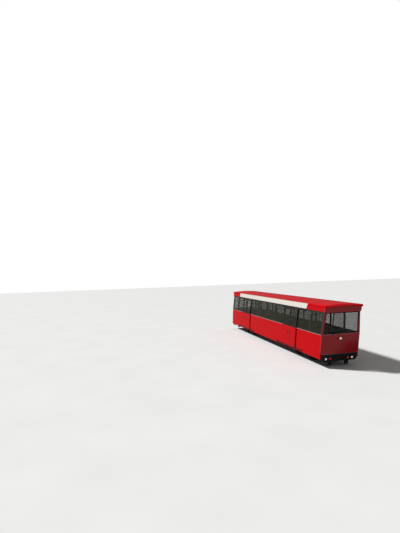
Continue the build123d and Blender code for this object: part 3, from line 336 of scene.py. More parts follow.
def grime_group():
    """Dust and road film: more of it low down, on ledges and in blotches."""
    tree, entry, out = new_group("Grime", (
        ("Colour", COLOUR), ("Film Colour", COLOUR), ("Amount", FLOAT), ("Low", FLOAT), ("High", FLOAT),
        ("Blotch Size", FLOAT), ("Gloss", FLOAT),
    ), (("Colour", COLOUR), ("Roughness", FLOAT)))
    place = put(tree, "ShaderNodeTexCoord")
    height = put(tree, "ShaderNodeMapRange", To_Min=1.0, To_Max=0.0)
    join(tree, split(tree, place.outputs["Object"])["Z"], height.inputs["Value"])
    join(tree, entry.outputs["Low"], height.inputs["From Min"])
    join(tree, entry.outputs["High"], height.inputs["From Max"])
    blotch = put(tree, "ShaderNodeTexNoise", Detail=5.0, Roughness=0.65)
    join(tree, place.outputs["Object"], blotch.inputs["Vector"])
    join(tree, entry.outputs["Blotch Size"], blotch.inputs["Scale"])
    fine = put(tree, "ShaderNodeTexNoise", Scale=38.0, Detail=4.0, Roughness=0.7)
    join(tree, place.outputs["Object"], fine.inputs["Vector"])
    ledge = stretch(tree, facing_parts(tree)["Z"], 0.6, 1.0, 0.0, 0.25)
    cloud = stretch(tree, blotch.outputs["Fac"], 0.35, 0.75)
    speck = stretch(tree, fine.outputs["Fac"], 0.4, 0.8, 0.4, 1.0)
    low = maths(tree, "MULTIPLY", height.outputs["Result"], height.outputs["Result"])
    spread = maths(tree, "ADD", low, ledge)
    film = maths(tree, "MULTIPLY", maths(tree, "MULTIPLY_ADD", cloud, 0.5, spread), speck)
    film = maths(tree, "MULTIPLY", film, entry.outputs["Amount"], clamp=True)
    mixed = mix_colour(tree, film, entry.outputs["Colour"], entry.outputs["Film Colour"])
    join(tree, mixed, out.inputs["Colour"])
    rough = maths(tree, "MULTIPLY_ADD", film, 0.55, entry.outputs["Gloss"])
    join(tree, maths(tree, "MULTIPLY_ADD", cloud, 0.04, rough), out.inputs["Roughness"])


def grain_group():
    """Fine pits and swellings, as a height."""
    tree, entry, out = new_group("Grain", (("Scale", FLOAT), ("Softness", FLOAT)), (("Height", FLOAT),))
    place = put(tree, "ShaderNodeTexCoord")
    noise = put(tree, "ShaderNodeTexNoise", Detail=6.0)
    join(tree, place.outputs["Object"], noise.inputs["Vector"])
    join(tree, entry.outputs["Scale"], noise.inputs["Scale"])
    join(tree, entry.outputs["Softness"], noise.inputs["Roughness"])
    join(tree, noise.outputs["Fac"], out.inputs["Height"])


def weave_group():
    """Over and under threads, as a height and a thread mask."""
    tree, entry, out = new_group("Weave", (("Threads", FLOAT),), (("Height", FLOAT), ("Mask", FLOAT)))
    place = put(tree, "ShaderNodeTexCoord")
    bands = []
    for turn in (0.0, math.pi / 2):
        mapping = put(tree, "ShaderNodeMapping")
        mapping.inputs["Rotation"].default_value = (0.0, SLOPE, turn)
        join(tree, place.outputs["Object"], mapping.inputs["Vector"])
        wave = put(tree, "ShaderNodeTexWave", bands_direction="X", wave_profile="SIN", Distortion=0.6)
        join(tree, mapping.outputs["Vector"], wave.inputs["Vector"])
        join(tree, entry.outputs["Threads"], wave.inputs["Scale"])
        bands.append(wave.outputs["Fac"])
    join(tree, maths(tree, "ADD", *bands), out.inputs["Height"])
    join(tree, maths(tree, "MULTIPLY", *bands), out.inputs["Mask"])


def bump(tree, shader, height, strength, distance=0.001):
    """Feeds a height to the shader's normal."""
    node = put(tree, "ShaderNodeBump", Strength=strength, Distance=distance)
    join(tree, height, node.inputs["Height"])
    join(tree, node.outputs["Normal"], shader.inputs["Normal"])


# Finishes

def filmed(tree, shader, colour, film, amount, low, high, blotch, gloss):
    """Lays the dust film over a colour, for the shader's colour and roughness."""
    grime = use_group(tree, "Grime", Film_Colour=(*film, 1.0), Amount=amount, Low=low, High=high,
                      Blotch_Size=blotch, Gloss=gloss)
    join(tree, colour, grime.inputs["Colour"])
    join(tree, grime.outputs["Colour"], shader.inputs["Base Color"])
    join(tree, grime.outputs["Roughness"], shader.inputs["Roughness"])


def grained(tree, shader, scale, softness, strength, distance=0.001):
    """Fine pits over the whole surface."""
    grain = use_group(tree, "Grain", Scale=scale, Softness=softness)
    bump(tree, shader, grain.outputs["Height"], strength, distance)


def pattern(tree, kind, output="Fac", place=None, **values):
    """A texture in the object's own coordinates."""
    node = put(tree, "ShaderNodeTex" + kind, **values)
    join(tree, object_place(tree) if place is None else place, node.inputs["Vector"])
    return node.outputs[output]


def coloured(tree, shader, tone, first, second):
    """Gives the surface the first colour where the tone is 0, and the second where it is 1."""
    join(tree, mix_colour(tree, tone, first, second), shader.inputs["Base Color"])


def roughened(tree, shader, value, low, high, smooth, rough):
    """Gives the surface a roughness that follows a value."""
    join(tree, stretch(tree, value, low, high, smooth, rough), shader.inputs["Roughness"])


def both(tree, *masks):
    """White where every mask is white."""
    result = masks[0]
    for mask in masks[1:]:
        result = maths(tree, "MULTIPLY", result, mask)
    return result


def inside_mask(tree):
    """White on the faces of the body's shell that look into the car, and the height on it."""
    inner_y, ledge_z, ledge_x, ceiling_y, ceiling_x = 1.141, 1.85, 8.09, 1.045, 8.31
    place = put(tree, "ShaderNodeTexCoord")
    spot = split(tree, place.outputs["Object"])
    facing = split(tree, place.outputs["Normal"])
    across = maths(tree, "MULTIPLY", facing["Y"], maths(tree, "SIGN", spot["Y"]))
    along = maths(tree, "MULTIPLY", facing["X"], maths(tree, "SIGN", spot["X"]))
    from_middle = maths(tree, "ABSOLUTE", spot["Y"])
    between_walls = maths(tree, "LESS_THAN", from_middle, inner_y)
    upright = maths(tree, "MULTIPLY_ADD", spot["Z"], -math.tan(SLOPE), LEAN_Z * math.tan(SLOPE))
    from_centre = maths(tree, "ABSOLUTE", maths(tree, "ADD", spot["X"], upright))
    in_side = maths(tree, "LESS_THAN", across, -0.4)
    in_end = both(tree, maths(tree, "LESS_THAN", along, -0.4), between_walls)
    on_ledge = both(tree, between_walls, maths(tree, "COMPARE", spot["Z"], ledge_z, 0.06),
                    maths(tree, "LESS_THAN", from_centre, ledge_x))
    under_roof = both(tree, maths(tree, "LESS_THAN", facing["Z"], -0.4),
                      maths(tree, "LESS_THAN", from_middle, ceiling_y),
                      maths(tree, "LESS_THAN", maths(tree, "ABSOLUTE", spot["X"]), ceiling_x))
    wall = maths(tree, "MAXIMUM", in_side, in_end)
    return maths(tree, "MAXIMUM", wall, maths(tree, "MAXIMUM", on_ledge, under_roof)), spot["Z"]


def red_paint(finish, name="red_paint", dark_top=False, dark_posts=False, sheen=0.035, coat=0.04):
    """Gloss paint with orange peel, sun-faded above and filmed with dust below, and pale lining inside."""
    tree, shader = new_material(name, Coat_Weight=coat, Coat_Roughness=0.04, Specular_IOR_Level=sheen)
    facing = facing_parts(tree)
    sky_side = stretch(tree, facing["Z"], 0.2, 1.0, 0.0, 0.04)
    blotch = pattern(tree, "Noise", Scale=0.9, Detail=4.0)
    fade = maths(tree, "MULTIPLY", sky_side, stretch(tree, blotch, 0.3, 0.7, 0.6, 1.3))
    colour = mix_colour(tree, fade, finish.red, (0.85, 0.10, 0.14))
    inside, height = inside_mask(tree)
    colour = mix_colour(tree, inside, colour, (0.46, 0.47, 0.46))
    above_sill = maths(tree, "GREATER_THAN", height, SILL_Z)
    if dark_top:
        colour = mix_colour(tree, above_sill, colour, (0.030, 0.020, 0.020))
    if dark_posts:
        # Darkens the sideways faces of the end posts from the sill up to the top of the window band.
        sideways = maths(tree, "GREATER_THAN", maths(tree, "ABSOLUTE", facing["Y"]), 0.7)
        post = both(tree, sideways, above_sill, maths(tree, "LESS_THAN", height, BAND_TOP_Z))
        colour = mix_colour(tree, post, colour, (0.045, 0.010, 0.012))
    filmed(tree, shader, colour, (0.16, 0.035, 0.028),
           amount=0.22, low=0.25, high=1.0, blotch=1.5, gloss=0.18)
    grained(tree, shader, scale=90.0, softness=0.35, strength=0.04, distance=0.002)


def door_paint(finish):
    """The body's red below the sill, and dark frames above it."""
    red_paint(finish, "door_paint", dark_top=True)


def roof_paint(finish):
    """The body's red on the roof, dulled by weather."""
    red_paint(finish, "roof_paint", sheen=0.008, coat=0.01)


def end_paint(finish):
    """The body's red on the ends, glossier, with the sides of its posts darkened from the sill up to the
    band's top.
    """
    red_paint(finish, "end_paint", dark_posts=True, sheen=0.5, coat=0.5)


def black_paint(finish, name="black_paint", colour=None, film=(0.085, 0.072, 0.060), amount=0.40):
    """Satin paint below the body, dusty on its ledges."""
    tree, shader = new_material(name, Specular_IOR_Level=0.4)
    filmed(tree, shader, colour or finish.black, film,
           amount=amount, low=0.0, high=1.0, blotch=4.0, gloss=0.42)
    grained(tree, shader, scale=160.0, softness=0.6, strength=0.15)


def under_paint(finish):
    """Dark grey paint of the running gear, filmed with brake dust."""
    black_paint(finish, "under_paint", (0.034, 0.033, 0.032), (0.170, 0.130, 0.100), 0.55)


def cream_board(finish):
    """Pale enamelled board, faintly stained."""
    tree, shader = new_material("cream_board")
    filmed(tree, shader, finish.cream, (0.42, 0.38, 0.30),
           amount=0.35, low=3.0, high=3.5, blotch=2.5, gloss=0.3)
    grained(tree, shader, scale=70.0, softness=0.4, strength=0.04)


def pane_glass(name, tint, cover):
    """Tinted pane: each of its two faces covers this much of what is behind, and more at a flat angle."""
    tree, shader = new_material(name, Base_Color=(*tint, 1.0), Specular_IOR_Level=0.35)
    slant = put(tree, "ShaderNodeLayerWeight", Blend=0.5)
    rim = maths(tree, "POWER", slant.outputs["Facing"], 4.0)
    roughened(tree, shader, pattern(tree, "Noise", Scale=3.0, Detail=5.0), 0.4, 0.75, 0.02, 0.10)
    join(tree, stretch(tree, rim, 0.0, 1.0, cover, 0.95), shader.inputs["Alpha"])


def side_panes(finish):
    """Dark tinted panes of the window band and the doors."""
    pane_glass("side_panes", finish.tint, 0.45)


def clear_panes(finish):
    """Clearer panes of the windscreens and cab partitions."""
    pane_glass("clear_panes", (0.060, 0.080, 0.026), 0.15)


def dark_frame(finish):
    """Dark painted window posts."""
    tree, shader = new_material("dark_frame")
    filmed(tree, shader, (0.028, 0.026, 0.026), (0.10, 0.09, 0.08),
           amount=0.25, low=1.8, high=3.4, blotch=3.0, gloss=0.36)
    grained(tree, shader, scale=200.0, softness=0.5, strength=0.08)


def wheel_steel(finish):
    """Rusty cast wheels whose treads are rubbed bright."""
    tree, shader = new_material("wheel_steel", Metallic=0.85)
    spot = split(tree, put(tree, "ShaderNodeTexCoord").outputs["Object"])
    from_bogie = maths(tree, "SUBTRACT", maths(tree, "ABSOLUTE", spot["X"]), BOGIE_X)
    from_axle = maths(tree, "SUBTRACT", maths(tree, "ABSOLUTE", from_bogie), HALF_BASE)
    rise = maths(tree, "SUBTRACT", spot["Z"], AXLE_Z)
    square = maths(tree, "MULTIPLY_ADD", rise, rise, maths(tree, "MULTIPLY", from_axle, from_axle))
    radius = maths(tree, "SQRT", square)
    sideways = maths(tree, "ABSOLUTE", facing_parts(tree)["Y"])
    rolling = stretch(tree, sideways, 0.25, 0.6, 1.0, 0.0)
    tread = maths(tree, "MULTIPLY", stretch(tree, radius, 0.285, 0.297), rolling)
    rust = pattern(tree, "Noise", Scale=24.0, Detail=8.0, Roughness=0.7)
    cast = mix_colour(tree, stretch(tree, rust, 0.35, 0.7), (0.035, 0.030, 0.028), (0.11, 0.055, 0.03))
    coloured(tree, shader, tread, cast, (0.42, 0.41, 0.40))
    roughened(tree, shader, tread, 0.0, 1.0, 0.72, 0.26)
    bump(tree, shader, rust, 0.25, 0.002)


def axle_steel(finish):
    """Turned steel with faint rings and an oily film."""
    tree, shader = new_material("axle_steel", Metallic=0.9)
    rings = pattern(tree, "Wave", bands_direction="Y", Scale=60.0, Distortion=2.0, Detail=3.0)
    film = pattern(tree, "Noise", Scale=9.0, Detail=5.0)
    coloured(tree, shader, stretch(tree, film, 0.4, 0.65), (0.30, 0.29, 0.28), (0.09, 0.07, 0.055))
    roughened(tree, shader, film, 0.3, 0.7, 0.28, 0.6)
    bump(tree, shader, rings, 0.06)


def floor_cover(finish):
    """Grey studded rubber, worn paler where people walk."""
    tree, shader = new_material("floor_cover")
    studs = pattern(tree, "Voronoi", "Distance", feature="SMOOTH_F1", Scale=32.0, Randomness=0.0)
    stud = stretch(tree, studs, 0.25, 0.38, 1.0, 0.0)
    wear = pattern(tree, "Noise", place=object_place(tree, scale=(1.0, 2.4, 1.0)), Scale=2.2, Detail=6.0)
    path = stretch(tree, wear, 0.35, 0.7)
    base = mix_colour(tree, path, (0.075, 0.078, 0.082), (0.14, 0.138, 0.13))
    coloured(tree, shader, stud, base, (0.19, 0.19, 0.185))
    roughened(tree, shader, path, 0.0, 1.0, 0.62, 0.82)
    bump(tree, shader, stud, 0.5, 0.0015)


def seat_shell(finish):
    """Grey moulded plastic with a fine leather grain."""
    tree, shader = new_material("seat_shell")
    grain = use_group(tree, "Grain", Scale=260.0, Softness=0.55)
    cells = pattern(tree, "Voronoi", "Distance", feature="DISTANCE_TO_EDGE", Scale=420.0)
    scuff = pattern(tree, "Noise", Scale=6.0, Detail=7.0)
    coloured(tree, shader, stretch(tree, scuff, 0.35, 0.7), (0.27, 0.28, 0.29), (0.35, 0.355, 0.36))
    roughened(tree, shader, scuff, 0.3, 0.7, 0.38, 0.56)
    bump(tree, shader, maths(tree, "ADD", grain.outputs["Height"], cells), 0.12)


def seat_fabric(finish):
    """Woven wool cloth with a light fleck."""
    tree, shader = new_material("seat_fabric", Roughness=0.85, Sheen_Weight=0.35, Sheen_Roughness=0.4)
    weave = use_group(tree, "Weave", Threads=420.0)
    dots = stretch(tree, pattern(tree, "Voronoi", "Distance", Scale=130.0), 0.05, 0.16, 1.0, 0.0)
    base = mix_colour(tree, weave.outputs["Mask"], tuple(0.6 * c for c in finish.fabric), finish.fabric)
    coloured(tree, shader, dots, base, (0.32, 0.10, 0.06))
    bump(tree, shader, weave.outputs["Height"], 0.45, 0.0008)


def stainless(finish):
    """Brushed stainless steel."""
    tree, shader = new_material("stainless", Metallic=1.0)
    stretched = object_place(tree, scale=(40.0, 40.0, 1.0))
    brush = pattern(tree, "Noise", place=stretched, Scale=14.0, Detail=8.0, Roughness=0.7)
    coloured(tree, shader, stretch(tree, brush, 0.3, 0.7), (0.50, 0.50, 0.50), (0.66, 0.66, 0.65))
    roughened(tree, shader, brush, 0.3, 0.7, 0.22, 0.40)
    bump(tree, shader, brush, 0.04)


def lining(finish):
    """Blue-grey laminate of desks and partitions."""
    tree, shader = new_material("lining")
    filmed(tree, shader, (0.30, 0.34, 0.40), (0.22, 0.21, 0.20),
           amount=0.2, low=0.8, high=2.2, blotch=3.0, gloss=0.45)
    grained(tree, shader, scale=330.0, softness=0.7, strength=0.12)


def lamp_lens(name, colour, glow):
    """Ribbed lamp lens that glows a little."""
    tree, shader = new_material(
        name, Roughness=0.08, Coat_Weight=0.6, Coat_Roughness=0.03, Emission_Strength=glow)
    ribs = pattern(tree, "Wave", bands_direction="Y", Scale=22.0)
    cells = pattern(tree, "Wave", bands_direction="Z", Scale=22.0)
    facet = maths(tree, "MULTIPLY", ribs, cells)
    mixed = mix_colour(tree, facet, tuple(0.55 * c for c in colour), colour)
    join(tree, mixed, shader.inputs["Base Color"])
    join(tree, mixed, shader.inputs["Emission Color"])
    bump(tree, shader, facet, 0.3, 0.002)


def lamp_white(finish):
    """Pale lens of the marker lamps and headlamp."""
    lamp_lens("lamp_white", (0.90, 0.88, 0.86), 0.75)


def lamp_red(finish):
    """Red lens of the tail lamps."""
    lamp_lens("lamp_red", (0.70, 0.012, 0.030), 0.55)


def light_diffuser(finish):
    """Opal cover of the ceiling lights, switched off."""
    tree, shader = new_material("light_diffuser", Roughness=0.35)
    prisms = pattern(tree, "Wave", bands_direction="X", Scale=60.0)
    yellow = pattern(tree, "Noise", Scale=1.4, Detail=3.0)
    coloured(tree, shader, stretch(tree, yellow, 0.35, 0.65), (0.74, 0.74, 0.71), (0.68, 0.66, 0.58))
    bump(tree, shader, prisms, 0.15)


def bright_strip(finish):
    """Pale anodised strip, tinted pink as a painted highlight along the sill, with fine scratches."""
    tree, shader = new_material("bright_strip", Metallic=0.35)
    stretched = object_place(tree, scale=(0.4, 8.0, 30.0))
    lines = pattern(tree, "Noise", place=stretched, Scale=30.0, Detail=6.0)
    # The pale pink stands in for the glint along the sill: a painted highlight.
    coloured(tree, shader, stretch(tree, lines, 0.3, 0.7), (0.70, 0.46, 0.44), (0.82, 0.66, 0.64))
    roughened(tree, shader, lines, 0.3, 0.7, 0.30, 0.45)
    bump(tree, shader, lines, 0.05)


def rubber(finish):
    """Black rubber with a chalky bloom."""
    tree, shader = new_material("rubber", Specular_IOR_Level=0.35)
    tone = stretch(tree, pattern(tree, "Noise", Scale=18.0, Detail=6.0), 0.4, 0.75)
    coloured(tree, shader, tone, (0.012, 0.012, 0.012), (0.045, 0.044, 0.042))
    roughened(tree, shader, tone, 0.0, 1.0, 0.5, 0.75)
    grained(tree, shader, scale=400.0, softness=0.5, strength=0.1)


FINISHES = (
    red_paint, door_paint, roof_paint, end_paint, black_paint, under_paint, cream_board, side_panes,
    clear_panes, dark_frame, wheel_steel, axle_steel, floor_cover, seat_shell, seat_fabric, stainless,
    lining, lamp_white, lamp_red, light_diffuser, rubber, bright_strip,
)

# How the names of nodes start, for each finish
NODE_FINISHES = (
    ("side_panes", ("leaf_glass", "side_glass")), ("clear_panes", ("windscreens", "partition_glass")),
    ("door_paint", ("leaf_",)), ("red_paint", ("side_wall", "fascia")), ("roof_paint", ("roof",)),
    ("end_paint", ("end_wall", "end_fascias")), ("dark_frame", ("side_frame",)),
    ("cream_board", ("sign_boards",)), ("black_paint", ("end_beams", "door_tracks", "rope_clevis")),
    ("under_paint", ("underframe", "bolsters", "bogie_frame", "suspension")), ("wheel_steel", ("wheels",)),
    ("axle_steel", ("axle",)), ("floor_cover", ("floor_steps",)), ("seat_shell", ("seat_shells",)),
    ("seat_fabric", ("seat_cushions", "driver_seats")), ("stainless", ("handrails",)),
    ("lining", ("partitions", "consoles")), ("lamp_white", ("headlamps", "white_lamps")),
    ("lamp_red", ("red_lamps",)), ("light_diffuser", ("ceiling_lights",)), ("rubber", ("wipers",)),
)

# Turns that stand a cylinder along each way, and the ways themselves
ALONG = {
    "X": (0.0, math.pi / 2, 0.0), "Y": (math.pi / 2, 0.0, 0.0), "Z": (0.0, 0.0, 0.0),
    "LEVEL": (0.0, math.pi / 2 + SLOPE, 0.0),
}
WAYS = {"X": Vector((1.0, 0.0, 0.0)), "Y": Vector((0.0, 1.0, 0.0)), "Z": UP, "LEVEL": LEVEL}


# Modelling helpers. Each new piece is left active, in object mode.

def lean(z):
    """How far uphill a plumb line stands at height z, from its place at LEAN_Z."""
    return (z - LEAN_Z) * math.tan(SLOPE)


def lean_in(side):
    """Moves upright points as the car's side goes: plumb, and inwards above the sill."""
    return lambda co: Vector((lean(co.z), -side * BAND_TILT * max(0.0, co.z - SILL_Z), 0.0))


def rib_heights(sizes):
    """Heights of the side ribs, from under the sill down."""
    return [SILL_Z - sizes.rib_pitch * (count + 0.75) for count in range(4)]


def spread(middle, half):
    """The two bounds that lie this far either side of a middle."""
    return middle - half, middle + half


def beside_doors(gap, reach):
    """The three stretches of a side that reach from its ends to a gap from its doors' middles."""
    return (-reach, -DOOR_X - gap), (-DOOR_X + gap, DOOR_X - gap), (DOOR_X + gap, reach)


def each_leaf():
    """Every door leaf: its name, its door's middle, the way that it opens, and its side."""
    return [("%s_%s" % (side_name, name), centre, way, side)
            for name, centre, way in LEAVES for side_name, side in SIDES]


def around(turns, radius):
    """Points on a circle at these turns, as pairs."""
    return [(radius * math.cos(turn), radius * math.sin(turn)) for turn in turns]


def only(piece):
    """Selects one object and makes it the active one."""
    bpy.ops.object.select_all(action="DESELECT")
    piece.select_set(True)
    bpy.context.view_layer.objects.active = piece


def set_down(piece):
    """Moves an object's place, turn and scale into its mesh."""
    only(piece)
    bpy.ops.object.transform_apply(location=True, rotation=True, scale=True)
    return piece


def drop(*pieces):
    """Takes away pieces that were only there to be copied."""
    for piece in pieces:
        bpy.data.objects.remove(piece)


def edit(piece):
    """Opens one object in edit mode, all selected."""
    only(piece)
    bpy.ops.object.mode_set(mode="EDIT")
    bpy.ops.mesh.select_all(action="SELECT")


def leave():
    """Back to object mode."""
    bpy.ops.object.mode_set(mode="OBJECT")


def pick(kind, test):
    """In edit mode, selects the vertices, edges or faces that pass a test on their middle."""
    bpy.ops.mesh.select_mode(type=kind)
    bpy.ops.mesh.select_all(action="DESELECT")
    mesh = bmesh.from_edit_mesh(bpy.context.edit_object.data)
    for item in {"VERT": mesh.verts, "EDGE": mesh.edges, "FACE": mesh.faces}[kind]:
        points = [item.co] if kind == "VERT" else [vertex.co for vertex in item.verts]
        item.select_set(bool(test(sum(points, Vector()) / len(points), item)))
    mesh.select_flush_mode()
    bmesh.update_edit_mesh(bpy.context.edit_object.data)


def pick_faces(way):
    """Selects the faces that look a way."""
    pick("FACE", lambda co, face: face.normal.dot(way) > 0.9)


def pick_across(axis):
    """Selects the edges whose two ends differ along an axis."""
    pick("EDGE", lambda co, edge: edge.verts[0].co[axis] != edge.verts[1].co[axis])


def move(shift):
    """Moves what is selected."""
    bpy.ops.transform.translate(value=shift)


def cut(place, way):
    """Cuts everything along a plane."""
    bpy.ops.mesh.select_all(action="SELECT")
    bpy.ops.mesh.bisect(plane_co=place, plane_no=way)


def step_in(thickness, shift):
    """Insets the selected faces and moves them, with sloping sides."""
    bpy.ops.mesh.inset(thickness=thickness)
    move(shift)


def push_in(thickness, shift):
    """Insets the selected faces and extrudes them, with square sides."""
    bpy.ops.mesh.inset(thickness=thickness)
    bpy.ops.mesh.extrude_region_move(TRANSFORM_OT_translate={"value": shift})


def shape(piece, shift_of):
    """Moves each vertex by what shift_of gives for it, those that go the same way together."""
    groups = {}
    for vertex in piece.data.vertices:
        shift = tuple(round(value, 6) for value in shift_of(vertex.co))
        groups.setdefault(shift, set()).add(vertex.index)
    edit(piece)
    for shift, members in groups.items():
        pick("VERT", lambda co, vertex: vertex.index in members)
        move(shift)
    leave()
    return piece


def plumbed(piece, from_z=None):
    """Leans an upright piece plumb: at its place on the car, or about a height of its own."""
    start = 0.0 if from_z is None else lean(from_z)
    return shape(piece, lambda co: Vector((lean(co.z) - start, 0.0, 0.0)))


def new_block(name, low, high):
    """A block between two corners."""
    low, high = Vector(low), Vector(high)
    bpy.ops.object.select_all(action="DESELECT")
    bpy.ops.mesh.primitive_cube_add(size=1.0, location=(low + high) / 2)
    piece = bpy.context.object
    piece.name = name
    piece.scale = high - low
    return set_down(piece)


def side_block(name, side, along, out, up):
    """A block on one side of the car, from pairs: along X, out from the middle, and up."""
    near, far = sorted((side * out[0], side * out[1]))
    return new_block(name, (along[0], near, up[0]), (along[1], far, up[1]))


def new_round(name, place, radius, length, along="Z", sides=32):
    """A cylinder whose middle is at place."""
    bpy.ops.object.select_all(action="DESELECT")
    bpy.ops.mesh.primitive_cylinder_add(
        vertices=sides, radius=radius, depth=length, location=place, rotation=ALONG[along])
    piece = bpy.context.object
    piece.name = name
    return set_down(piece)


def ring(name, low, high, width, corner, depth):
    """A flat frame inside a rectangle from low to high, with round inner corners, thickened by depth."""
    low, high = Vector(low), Vector(high)
    size = high - low
    flat = 0 if size.x == 0.0 else 1
    bpy.ops.object.select_all(action="DESELECT")
    bpy.ops.mesh.primitive_plane_add(size=1.0, location=(low + high) / 2, rotation=ALONG["XY"[flat]])
    piece = bpy.context.object
    piece.name = name
    piece.scale = (size.z, size.y, 1.0) if flat == 0 else (size.x, size.z, 1.0)
    edit(set_down(piece))
    bpy.ops.mesh.inset(thickness=width)
    bpy.ops.mesh.select_all(action="SELECT")
    bpy.ops.mesh.delete(type="ONLY_FACE")

    def outer(co):
        return min(co.z - low.z, high.z - co.z) < width / 2

    pick("EDGE", lambda co, edge: outer(edge.verts[0].co) != outer(edge.verts[1].co))
    bpy.ops.mesh.delete(type="EDGE")
    if corner:
        pick("VERT", lambda co, vertex: not outer(co))
        bpy.ops.mesh.bevel(offset=corner, segments=5, affect="VERTICES")
    bpy.ops.mesh.select_all(action="SELECT")
    bpy.ops.mesh.fill()
    bpy.ops.mesh.select_all(action="SELECT")
    shift = [0.0, 0.0, 0.0]
    shift[flat] = depth
    bpy.ops.mesh.extrude_region_move(TRANSFORM_OT_translate={"value": shift})
    leave()
    return piece


def soften(piece, width, segments=2):
    """Rounds the sharp edges of a piece."""
    only(piece)
    bevel = piece.modifiers.new("edges", "BEVEL")
    bevel.width = width
    bevel.segments = segments
    bpy.ops.object.modifier_apply(modifier=bevel.name)
    return piece


def twin(piece, shift=(0.0, 0.0, 0.0), other_side=False):
    """A copy with its own mesh, moved, and mirrored across the car where asked."""
    copied = piece.copy()
    copied.data = piece.data.copy()
    bpy.context.scene.collection.objects.link(copied)
    only(copied)
    move(shift)
    if other_side:
        copied.scale = (1.0, -1.0, 1.0)
        copied.location.y *= -1.0
    return set_down(copied)


def as_one(name, pieces):
    """Joins pieces under one name."""
    only(pieces[0])
    for piece in pieces[1:]:
        piece.select_set(True)
    if len(pieces) > 1:
        bpy.ops.object.join()
    pieces[0].name = name
    return pieces[0]


def done(name, pieces, finish, body="car", replaced=(), smooth=32.0):
    """Joins and closes pieces, and gives them their finish, their body and what they stand for."""
    piece = as_one(name, pieces)
    edit(piece)
    bpy.ops.mesh.remove_doubles(threshold=0.00002)
    bpy.ops.mesh.normals_make_consistent(inside=False)
    leave()
    bpy.ops.object.shade_smooth_by_angle(angle=math.radians(smooth))
    piece.data.materials.clear()
    piece.data.materials.append(bpy.data.materials[finish])
    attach(piece, body)
    if replaced:
        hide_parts(*replaced)
    return piece


def on_tread(step, level, y=0.0, plumb=0.0):
    """The place at a level and a plumb distance from a tread's downhill edge."""
    x = -HALF_LENGTH + STEP_PITCH * step + lean(TREAD_Z)
    return Vector((x, y, TREAD_Z)) + LEVEL * level + PLUMB * plumb


def stand(piece, place, tip=0.0):
    """Turns a piece made at the origin so that it stands plumb, tips it back, and sets it at a place."""
    piece.matrix_world = Matrix.Translation(place) @ Matrix.Rotation(SLOPE + tip, 4, "Y")
    return set_down(piece)


def swell(piece, voxel, cap):
    """Fills a closed shape like a cushion: remeshed, blown up as cloth, and held within a cap."""
    only(piece)
    remesh = piece.modifiers.new("even", "REMESH")
    remesh.mode = "VOXEL"
    remesh.voxel_size = voxel
    bpy.ops.object.modifier_apply(modifier=remesh.name)
    start = [vertex.co.copy() for vertex in piece.data.vertices]
    last = 20
    cloth = piece.modifiers.new("cloth", "CLOTH")
    cloth.settings.use_pressure = True
    cloth.settings.uniform_pressure_force = 4.0
    cloth.settings.effector_weights.gravity = 0.0
    cloth.point_cache.frame_start = 1
    cloth.point_cache.frame_end = last
    for step in range(1, last + 1):
        bpy.context.scene.frame_set(step)
    blown = piece.evaluated_get(bpy.context.evaluated_depsgraph_get())
    ends = [vertex.co.copy() for vertex in blown.data.vertices]
    piece.modifiers.remove(cloth)
    bpy.context.scene.frame_set(1)
    for vertex, old, new in zip(piece.data.vertices, start, ends):
        shift = new - old
        vertex.co = old + shift * min(1.0, cap / max(shift.length, 1e-9))


def cushion(name, size, corner, cap, seams, faces):
    """A cushion with round corners and a flat foot. Seams are the axis and place of each sewn channel."""
    sewn, depth = 0.007, 0.007
    low = Vector((-size[0] / 2 + cap, -size[1] / 2 + cap, 0.0))
    piece = new_block(name, low, (size[0] / 2 - cap, size[1] / 2 - cap, size[2] - cap))
    edit(piece)
    pick_across(2)
    bpy.ops.mesh.bevel(offset=corner, segments=5)
    pick("EDGE", lambda co, edge: co.z > size[2] - cap - 0.001)
    bpy.ops.mesh.bevel(offset=min(0.012, size[2] / 4), segments=2)
    leave()
    swell(piece, 0.010, cap)
    for vertex in piece.data.vertices:
        co = vertex.co
        co.z = max(co.z, 0.001)
        if co.z > size[2] * 0.5:
            dips = [math.exp(-((co[axis] - at) / sewn) ** 2) for axis, at in seams]
            co.z -= depth * max(dips)
    only(piece)
    fewer = piece.modifiers.new("fewer", "DECIMATE")
    fewer.ratio = min(1.0, faces / max(1, 2 * len(piece.data.polygons)))
    bpy.ops.object.modifier_apply(modifier=fewer.name)
    return piece


def piping(name, size, corner, height, radius=0.004):
    """A welt sewn round a cushion's edge."""
    bpy.ops.object.select_all(action="DESELECT")
    bpy.ops.mesh.primitive_plane_add(size=1.0, location=(0.0, 0.0, height))
    loop = bpy.context.object
    loop.scale = (size[0], size[1], 1.0)
    edit(set_down(loop))
    bpy.ops.mesh.bevel(offset=corner, segments=6, affect="VERTICES")
    bpy.ops.mesh.delete(type="ONLY_FACE")
    leave()
    only(loop)
    bpy.ops.object.convert(target="CURVE")
    loop.data.bevel_depth = radius
    loop.data.bevel_resolution = 1
    bpy.ops.object.convert(target="MESH")
    loop.name = name
    return loop


def tube(name, points, radius, sides=8):
    """A round bar along points, with bends rounded by its own spline."""
    curve = bpy.data.curves.new(name, "CURVE")
    curve.dimensions = "3D"
    spline = curve.splines.new("NURBS")
    spline.points.add(len(points) - 1)
    for point, place in zip(spline.points, points):
        point.co = (*place, 1.0)
    spline.order_u = 3
    spline.use_endpoint_u = True
    spline.resolution_u = 5
    curve.bevel_depth = radius
    curve.bevel_resolution = max(0, sides // 2 - 2)
    curve.use_fill_caps = True
    bar = bpy.data.objects.new(name, curve)
    bpy.context.scene.collection.objects.link(bar)
    only(bar)
    bpy.ops.object.convert(target="MESH")
    return bpy.context.object


def bolts(places, radius, height, along, sides=6):
    """Bolt heads standing on their places, each with a small bevel."""
    head = soften(new_round("bolt", places[0], radius, height, along, sides), radius * 0.15, 1)
    return [head] + [twin(head, Vector(place) - Vector(places[0])) for place in places[1:]]


def on_end(end, y, z, out=0.0):
    """The place on an end face at a height, and a distance out of it."""
    return Vector((end * HALF_LENGTH + lean(z), y, z)) + LEVEL * end * out


